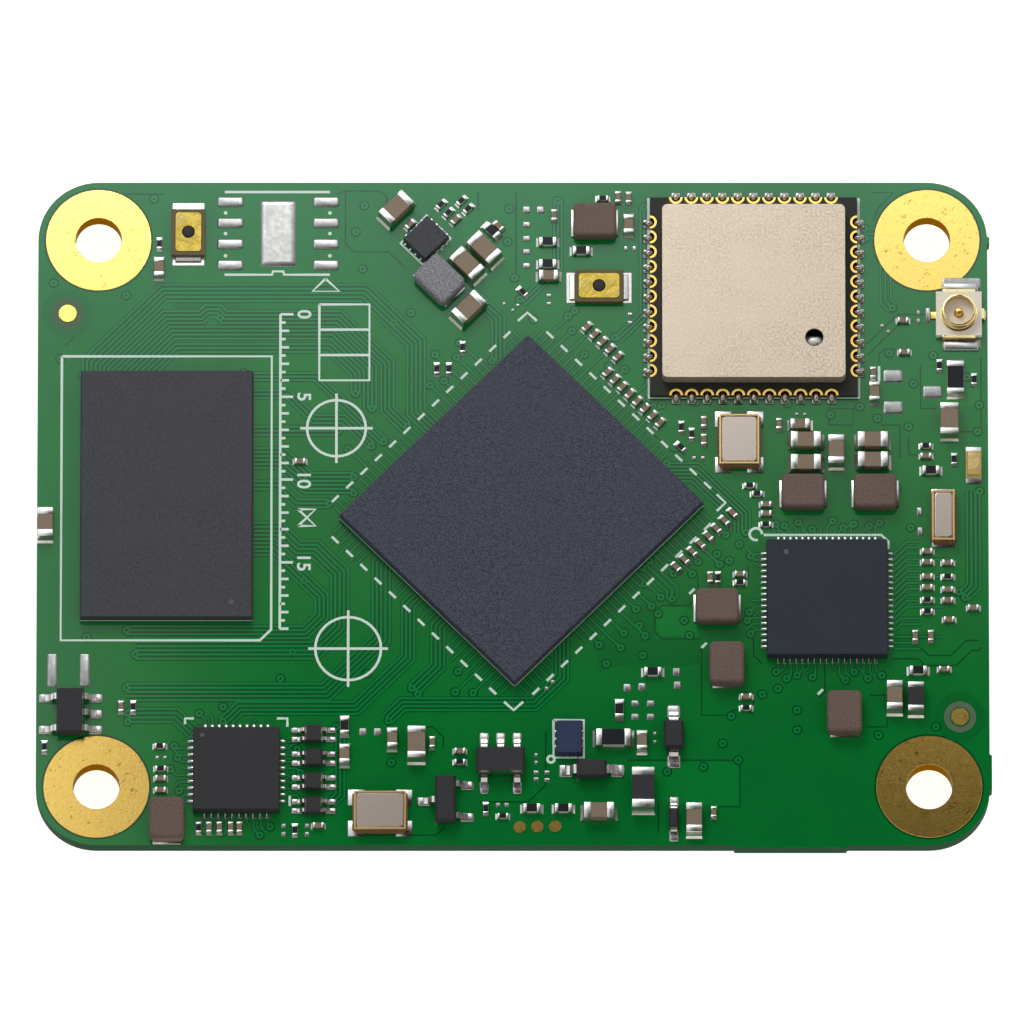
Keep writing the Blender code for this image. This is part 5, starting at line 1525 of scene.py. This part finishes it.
class MODULE_OT_radio(BuilderOperator, bpy.types.Operator):
    """Radio carrier with plated half holes, and its shield can"""

    bl_idname = "module.radio"
    bl_label = "Radio"

    def execute(self, context):
        dressed("radio_carrier", ["carrier"], "carrier", 0.004 * MM, segments=1)
        dressed("radio_chip", ["mould"], "mould")
        dressed("radio_shield", ["shield"], "shield_metal", 0.07 * MM, segments=3)
        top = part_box("radio_carrier")[1].z
        places = side_places("radio_carrier", 11, 0.9 * MM, 0.0, CHIP_SEAT)
        copies("radio_half_holes", self.half_hole(top - CHIP_SEAT), places, "fine_gold", "gold")
        copies("radio_solder", self.solder(top - CHIP_SEAT), places, "solder", "shield_metal", sharp=70)
        places = side_places("radio_carrier", 11, 0.9 * MM, 0.17 * MM, BOARD_TOP)
        copies("radio_pads", pillow(0.5 * MM, 0.56 * MM, 0.16 * MM), places, "solder", "shield_metal", sharp=70)
        # A small tinned part on the carrier, seen through the can's pick hole
        low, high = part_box("radio_shield")
        spot = ((low + high) / 2).xy + Vector((3.5, -2.84)) * MM
        part = soften(prism(box_outline(1.1 * MM, 0.6 * MM), 0, 0.5 * MM), 0.06 * MM)
        add_piece("radio_inner_part", placed(part, *spot, top), ["terminal"], "shield_metal")
        return {"FINISHED"}

    def half_hole(self, height):
        """Plating in a half-round notch: its centre is on the package's edge, and it faces +X."""
        shape = bmesh.new()
        inner, top = 0.2 * MM, height + 0.012 * MM
        for outer, bottom in ((0.27 * MM, 0.0), (0.4 * MM, height)):
            section = ((inner, bottom), (outer, bottom), (outer, top), (inner, top))
            sweep(shape, section, 8, math.pi / 2, math.pi)
        return shape

    def solder(self, height):
        """A fillet of solder that climbs in the notch and flows out over its pad."""
        shape = lathe([
            (0, -0.05 * MM), (0.3 * MM, -0.05 * MM), (0.29 * MM, 0.02 * MM), (0.24 * MM, height * 0.4),
            (0.17 * MM, height * 0.8), (0.08 * MM, height * 0.95), (0, height),
        ], 12)
        shape.transform(Matrix.Translation((0.07 * MM, 0, 0)) @ Matrix.Diagonal((1.2, 0.8, 1, 1)))
        return shape


class MODULE_OT_power(BuilderOperator, bpy.types.Operator):
    """Inductors with their plated ends"""

    bl_idname = "module.power"
    bl_label = "Inductors"

    def execute(self, context):
        for node in sorted(NODES):
            if node.endswith("inductor") or node.startswith("core_inductor"):
                finish = "grey_inductor" if node == "regulator_inductor" else "inductor"
                dressed(node, [finish], "inductor", 0.09 * MM, segments=3)
                end_pads(f"{node}_feet", node, 0.55, 0.82, 0.14, 0.16)
        return {"FINISHED"}


class MODULE_OT_crystals(BuilderOperator, bpy.types.Operator):
    """Crystals: ceramic bases, lids and pads"""

    bl_idname = "module.crystals"
    bl_label = "Crystals"

    def execute(self, context):
        for name in ("radio_crystal", "network_crystal", "clock_crystal"):
            base, lid = f"{name}_base", f"{name}_lid"
            dressed(base, ["ceramic"], "crystal_base", 0.03 * MM)
            dressed(lid, ["lid"], "crystal_lid", 0.03 * MM)
            centre, turn, length, width = node_lie(base)
            _, _, rim_length, rim_width = node_lie(lid)
            level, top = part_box(base)[1].z - 0.005 * MM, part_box(lid)[1].z - 0.05 * MM
            seal = join_shapes(*[
                self.bar(rim_length - inset, rim_width - inset, side, height, thin)
                for side in range(4)
                for inset, height, thin in ((0, level, 0.08 * MM), (0.04 * MM, top, 0.09 * MM))
            ])
            add_piece(f"{name}_seal", placed(seal, *centre, 0.0, turn), ["rim"], "gold")
            corners = width > 2 * MM
            outline = box_outline(*((0.95 * MM, 0.95 * MM) if corners else (0.75 * MM, width * 0.9)))
            pads = join_shapes(*[
                placed(
                    soften(prism(outline, 0, 0.09 * MM), 0.03 * MM),
                    end * (length / 2 - 0.22 * MM), side * (width / 2 - 0.32 * MM),
                )
                for end in (-1, 1) for side in ((-1, 1) if corners else (0,))
            ])
            add_piece(f"{name}_pads", placed(pads, *centre, BOARD_TOP, turn), ["tin"], "shield_metal")
        return {"FINISHED"}

    def bar(self, length, width, side, level, thin):
        """One side of the thin brass rim round the lid, or of the seal between base and lid."""
        sign = 1 if side % 2 else -1
        if side < 2:
            size, offset = (length, thin), (0, sign * (width - thin) / 2)
        else:
            size, offset = (thin, width - 2 * thin), (sign * (length - thin) / 2, 0)
        return placed(prism(box_outline(*size), level + side // 2 * 0.0005 * MM, 0.056 * MM), *offset)


LEADED = ["logic_chip_left", "logic_chip_front", "transistor", "diode_1", "diode_2", "small_diode"]
LEADED += [f"surge_array_{k}" for k in (1, 2, 3, 4)]


class MODULE_OT_leaded(BuilderOperator, bpy.types.Operator):
    """Logic chips, transistor, diodes, surge arrays and the light"""

    bl_idname = "module.leaded"
    bl_label = "Leaded parts"

    def execute(self, context):
        for node in LEADED:
            body = top_lie(node, 0.09 * MM)
            dressed(node, ["network_mould", "tin"], "mould", 0.02 * MM, metal_outside=body, segments=1)
        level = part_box("status_led")[0].z + 0.26 * MM
        dressed("status_led", ["lens", "cream"], "led_lens", 0.03 * MM, lower=level)
        end_pads("status_led_feet", "status_led", 0.5, 1.0, 0.1, -0.05)
        places = [place for node in LEADED for place in self.lead_places(node)]
        copies("lead_pads", pillow(MM, MM, 0.13 * MM), places, "solder", "shield_metal", sharp=70)
        return {"FINISHED"}

    def lead_places(self, node):
        """Where solder lies on the pads under a part's bent leads."""
        shape = cad_copy(node)
        centre = top_lie(node)[0]
        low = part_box(node)[0].z
        for face in shape.faces:
            middle = face.calc_center_median()
            if face.normal.z > 0.9 and middle.z < low + 0.2 * MM:
                toe, turn, length, width = lie_of([corner.co.xy for corner in face.verts])
                facing = math.atan2(middle.y - centre.y, middle.x - centre.x)
                square = round(facing / (math.pi / 2)) * math.pi / 2
                reach, width = (length, width) if abs(math.cos(square - turn)) > 0.7 else (width, length)
                toe = toe + axes(square)[0] * 0.1 * MM
                yield (toe.x, toe.y, BOARD_TOP, square, (reach / MM + 0.5, width * 1.35 / MM, 1))
        shape.free()


class MODULE_OT_switches(BuilderOperator, bpy.types.Operator):
    """Push switches"""

    bl_idname = "module.switches"
    bl_label = "Switches"

    def execute(self, context):
        for side in ("left", "right"):
            name = f"{side}_switch"
            housing = f"{name}_housing"
            frame_top = top_lie(housing, 0.02 * MM)
            dressed(housing, ["frame", "tin"], "switch_frame", 0.03 * MM, metal_outside=frame_top)
            dressed(f"{name}_film", ["film"], "switch_film", 0.008 * MM, segments=1)
            dressed(f"{name}_dome", ["tin"], "dome_steel", 0.003 * MM, segments=1, sharp=60)
            plunger = dressed(f"{name}_plunger", ["plunger"], "plunger", 0.01 * MM, segments=1, sharp=40)
            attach(plunger, f"{side}_plunger")
            low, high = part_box(f"{name}_plunger")
            button = lathe([
                (0, high.z - 0.02 * MM), (0.17 * MM, high.z - 0.02 * MM), (0.19 * MM, high.z + 0.004 * MM),
                (0.12 * MM, high.z + 0.012 * MM), (0, high.z + 0.012 * MM),
            ], 20)
            placed(button, *((low + high) / 2).xy)
            add_piece(f"{name}_button", button, ["network_mould"], "plunger", body=f"{side}_plunger")
            end_pads(f"{name}_pads", housing, 0.6, 0.95, 0.06, 0.1, 0.02, 1)
        return {"FINISHED"}


class MODULE_OT_socket(BuilderOperator, bpy.types.Operator):
    """Coaxial antenna socket"""

    bl_idname = "module.socket"
    bl_label = "Antenna socket"

    def execute(self, context):
        low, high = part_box("antenna_base")
        # The moulding also covers the shell's arms
        shape = cad_copy("antenna_base")
        for corner in shape.verts:
            if corner.co.z > high.z - 0.01 * MM:
                corner.co.z += 0.16 * MM
        soften(shape, 0.05 * MM)
        add_piece("antenna_base_dressed", shape, ["cream"], "socket_base", "antenna_base")
        dressed("antenna_shell", ["pale_gold"], "gold", 0.012 * MM, segments=1, sharp=40)
        dressed("antenna_pin", ["fine_gold"], "gold", 0.008 * MM, segments=1, sharp=40)
        centre = ((low + high) / 2).xy
        flange = tube(1.85 * MM, 2.2 * MM, high.z + 0.14 * MM, 0.05 * MM, 40)
        add_piece("antenna_flange", placed(flange, *centre), ["pale_gold"], "gold")
        feet = []
        for side, out in ((-1, 0.5 * MM), (1, 0.36 * MM)):
            y = centre.y + side * ((high.y - low.y) / 2 + out)
            feet.append(placed(pillow(2.1 * MM, 0.62 * MM, 0.2 * MM), centre.x + 0.1 * MM, y, BOARD_TOP))
        add_piece("antenna_solder", join_shapes(*feet), ["solder"], "shield_metal", sharp=70)
        return {"FINISHED"}


class MODULE_OT_plugs(BuilderOperator, bpy.types.Operator):
    """Board plugs with gold contacts, on the underside"""

    bl_idname = "module.plugs"
    bl_label = "Board plugs"

    def execute(self, context):
        inner, tails = [], []
        count, pitch = 50, 0.4
        for node in PLUGS:
            low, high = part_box(node)
            dressed(node, ["plug", "gold"], "plug_plastic", 0.05 * MM, segments=1)
            turn = 0.0 if high.x - low.x > high.y - low.y else math.pi / 2
            along, across = axes(turn)
            for side in (-1, 1):
                for k in range(count):
                    spot = ((low + high) / 2).xy + along * (k - (count - 1) / 2) * pitch * MM
                    inner.append((*(spot + across * side * 0.77 * MM), 0.2 * MM, turn))
                    tails.append((*(spot + across * side * 1.45 * MM), high.z - 0.18 * MM, turn))
        contact, tail = (
            soften(prism(box_outline(0.22 * MM, width * MM), 0, height * MM), 0.02 * MM, 1)
            for width, height in ((0.09, 0.95), (0.36, 0.17))
        )
        copies("plug_contacts", contact, inner, "gold", "gold")
        copies("plug_tails", tail, tails, "gold", "gold")
        return {"FINISHED"}


class MODULE_OT_stage(BuilderOperator, bpy.types.Operator):
    """Floor, lamps, card, room and camera"""

    bl_idname = "module.stage"
    bl_label = "Stage"

    def execute(self, context):
        look = context.scene.module_stage
        self.floor(look.shadow)
        for name, power, size, place in (
            ("key_lamp", look.key, 0.065, (-0.03, 0.096, 0.12)), ("fill_lamp", look.fill, 0.3, (0.24, -0.12, 0.26)),
        ):
            self.lamp(name, power, size, place)
        self.card(look)
        self.room(look)
        self.camera(look)
        context.scene.view_settings.view_transform = "Standard"
        return {"FINISHED"}

    def sheet(self, name, reach, slide, level, order, material):
        """A square sheet that only belongs to the stage; the order of its corners says which way it faces."""
        mesh = bpy.data.meshes.new(name)
        corners = ((-reach, -reach), (reach, -reach), (reach, reach), (-reach, reach))
        mesh.from_pydata([(x, y + slide, level) for x, y in corners], [], [order])
        mesh.materials.append(material)
        made = new_object(name, mesh)
        return made

    def seen(self, wiring):
        """1 for rays from the camera and those that it sends on by a mirror or a film, else 0."""
        rays = wiring.add("ShaderNodeLightPath").outputs
        seen = wiring.calc("MAXIMUM", rays["Is Camera Ray"], rays["Is Glossy Ray"])
        return wiring.calc("MAXIMUM", seen, rays["Is Transmission Ray"])

    def floor(self, glow):
        material, wiring, shader = start_material("studio_floor")
        wiring.fill(shader, {
            "Base Color": (0.92, 0.92, 0.92, 1), "Roughness": 0.9, "Specular IOR Level": 0.0,
            "Emission Color": (1, 1, 1, 1), "Emission Strength": wiring.calc("MULTIPLY", self.seen(wiring), glow),
        })
        self.sheet("floor", 1.5, 0, 0, (0, 1, 2, 3), material)

    def lamp(self, name, power, size, place):
        data = bpy.data.lights.new(name, "AREA")
        data.energy = power
        data.shape = "SQUARE"
        data.size = size
        lamp = new_object(name, data)
        lamp.location = place
        lamp.rotation_euler = (Vector((0, 0, BOARD_TOP)) - Vector(place)).to_track_quat("-Z", "Y").to_euler()

    def card(self, look):
        """A bright card over the board that only shiny surfaces see, brighter to the rear left and dim far off."""
        height = 0.15
        # Over the middle of the board in the camera's reflected view; full to one distance from there, dim at the next
        slide = height * math.tan(look.tilt)
        bright, dim = 0.055, 0.11
        material = bpy.data.materials.new("soft_card")
        material.use_nodes = True
        material.node_tree.nodes.clear()
        wiring = Wiring(material.node_tree)
        spot = wiring.add("ShaderNodeTexCoord").outputs["Object"]
        place = wiring.add("ShaderNodeSeparateXYZ", {0: spot}).outputs
        away = wiring.add("ShaderNodeVectorMath", {0: spot, 1: (0.0, slide, height)}, operation="DISTANCE")
        near = wiring.ramp(away.outputs["Value"], bright, dim, look.card, 0.4 * look.card)
        rear = wiring.ramp(place["Y"], slide - 0.0115, slide + 0.034, last=1.3)
        left = wiring.ramp(place["X"], -0.016, -0.04, last=0.95)
        both = wiring.calc("MAXIMUM", rear, left)
        tint = blend_colours(wiring, both, tuple(look.card_front), tuple(look.card_rear))
        glow = wiring.add("ShaderNodeEmission", {"Color": tint, "Strength": wiring.calc("MULTIPLY", both, near)})
        wiring.add("ShaderNodeOutputMaterial", {"Surface": glow.outputs[0]})
        card = self.sheet("card", 0.3, slide, height, (0, 3, 2, 1), material)
        card.visible_camera = False
        card.visible_diffuse = False
        card.visible_shadow = False
        card.visible_transmission = False

    def room(self, look):
        """White to the camera, softer to the object's own light."""
        world = bpy.data.worlds.new("room")
        bpy.context.scene.world = world
        world.use_nodes = True
        wiring = Wiring(world.node_tree)
        strength = wiring.ramp(self.seen(wiring), first=look.sky, last=1.0)
        wiring.fill(world.node_tree.nodes["Background"], {"Color": (1, 1, 1, 1), "Strength": strength})

    def camera(self, look):
        data = bpy.data.cameras.new("camera")
        data.lens = look.lens
        data.sensor_width = 36
        data.clip_start, data.clip_end = 0.1, 10
        camera = new_object("camera", data)
        back = Vector((0, -math.sin(look.tilt), math.cos(look.tilt)))
        target = Vector((look.aim_x, look.aim_y, BOARD_TOP))
        camera.location = target + back * (look.field * look.lens / data.sensor_width)
        camera.rotation_euler = (-back).to_track_quat("-Z", "Y").to_euler()
        bpy.context.scene.camera = camera


class MODULE_PT_panel(bpy.types.Panel):
    """Lists the builders of the module's pieces"""

    bl_idname = "MODULE_PT_panel"
    bl_label = "System on module"
    bl_space_type = "VIEW_3D"
    bl_region_type = "UI"
    bl_category = "Module"

    def draw(self, context):
        for operator in OPERATORS:
            self.layout.operator(operator.bl_idname)


OPERATORS = (
    MODULE_OT_board, MODULE_OT_copper, MODULE_OT_print, MODULE_OT_chips, MODULE_OT_packages, MODULE_OT_radio,
    MODULE_OT_power, MODULE_OT_crystals, MODULE_OT_leaded, MODULE_OT_switches, MODULE_OT_socket, MODULE_OT_plugs,
    MODULE_OT_underside, MODULE_OT_stage,
)


def register():
    for item in (*SETTINGS.values(), *OPERATORS, MODULE_PT_panel):
        bpy.utils.register_class(item)
    for name, group in SETTINGS.items():
        setattr(bpy.types.Scene, name, bpy.props.PointerProperty(type=group))


def unregister():
    for name in SETTINGS:
        delattr(bpy.types.Scene, name)
    for item in reversed((*SETTINGS.values(), *OPERATORS, MODULE_PT_panel)):
        bpy.utils.unregister_class(item)


def main():
    register()
    make_finishes()
    TREES.update(ribbons=ribbon_tree(), copies=copies_tree())
    for operator in OPERATORS:
        category, name = operator.bl_idname.split(".")
        getattr(getattr(bpy.ops, category), name)()


if __name__ == "__main__":
    main()
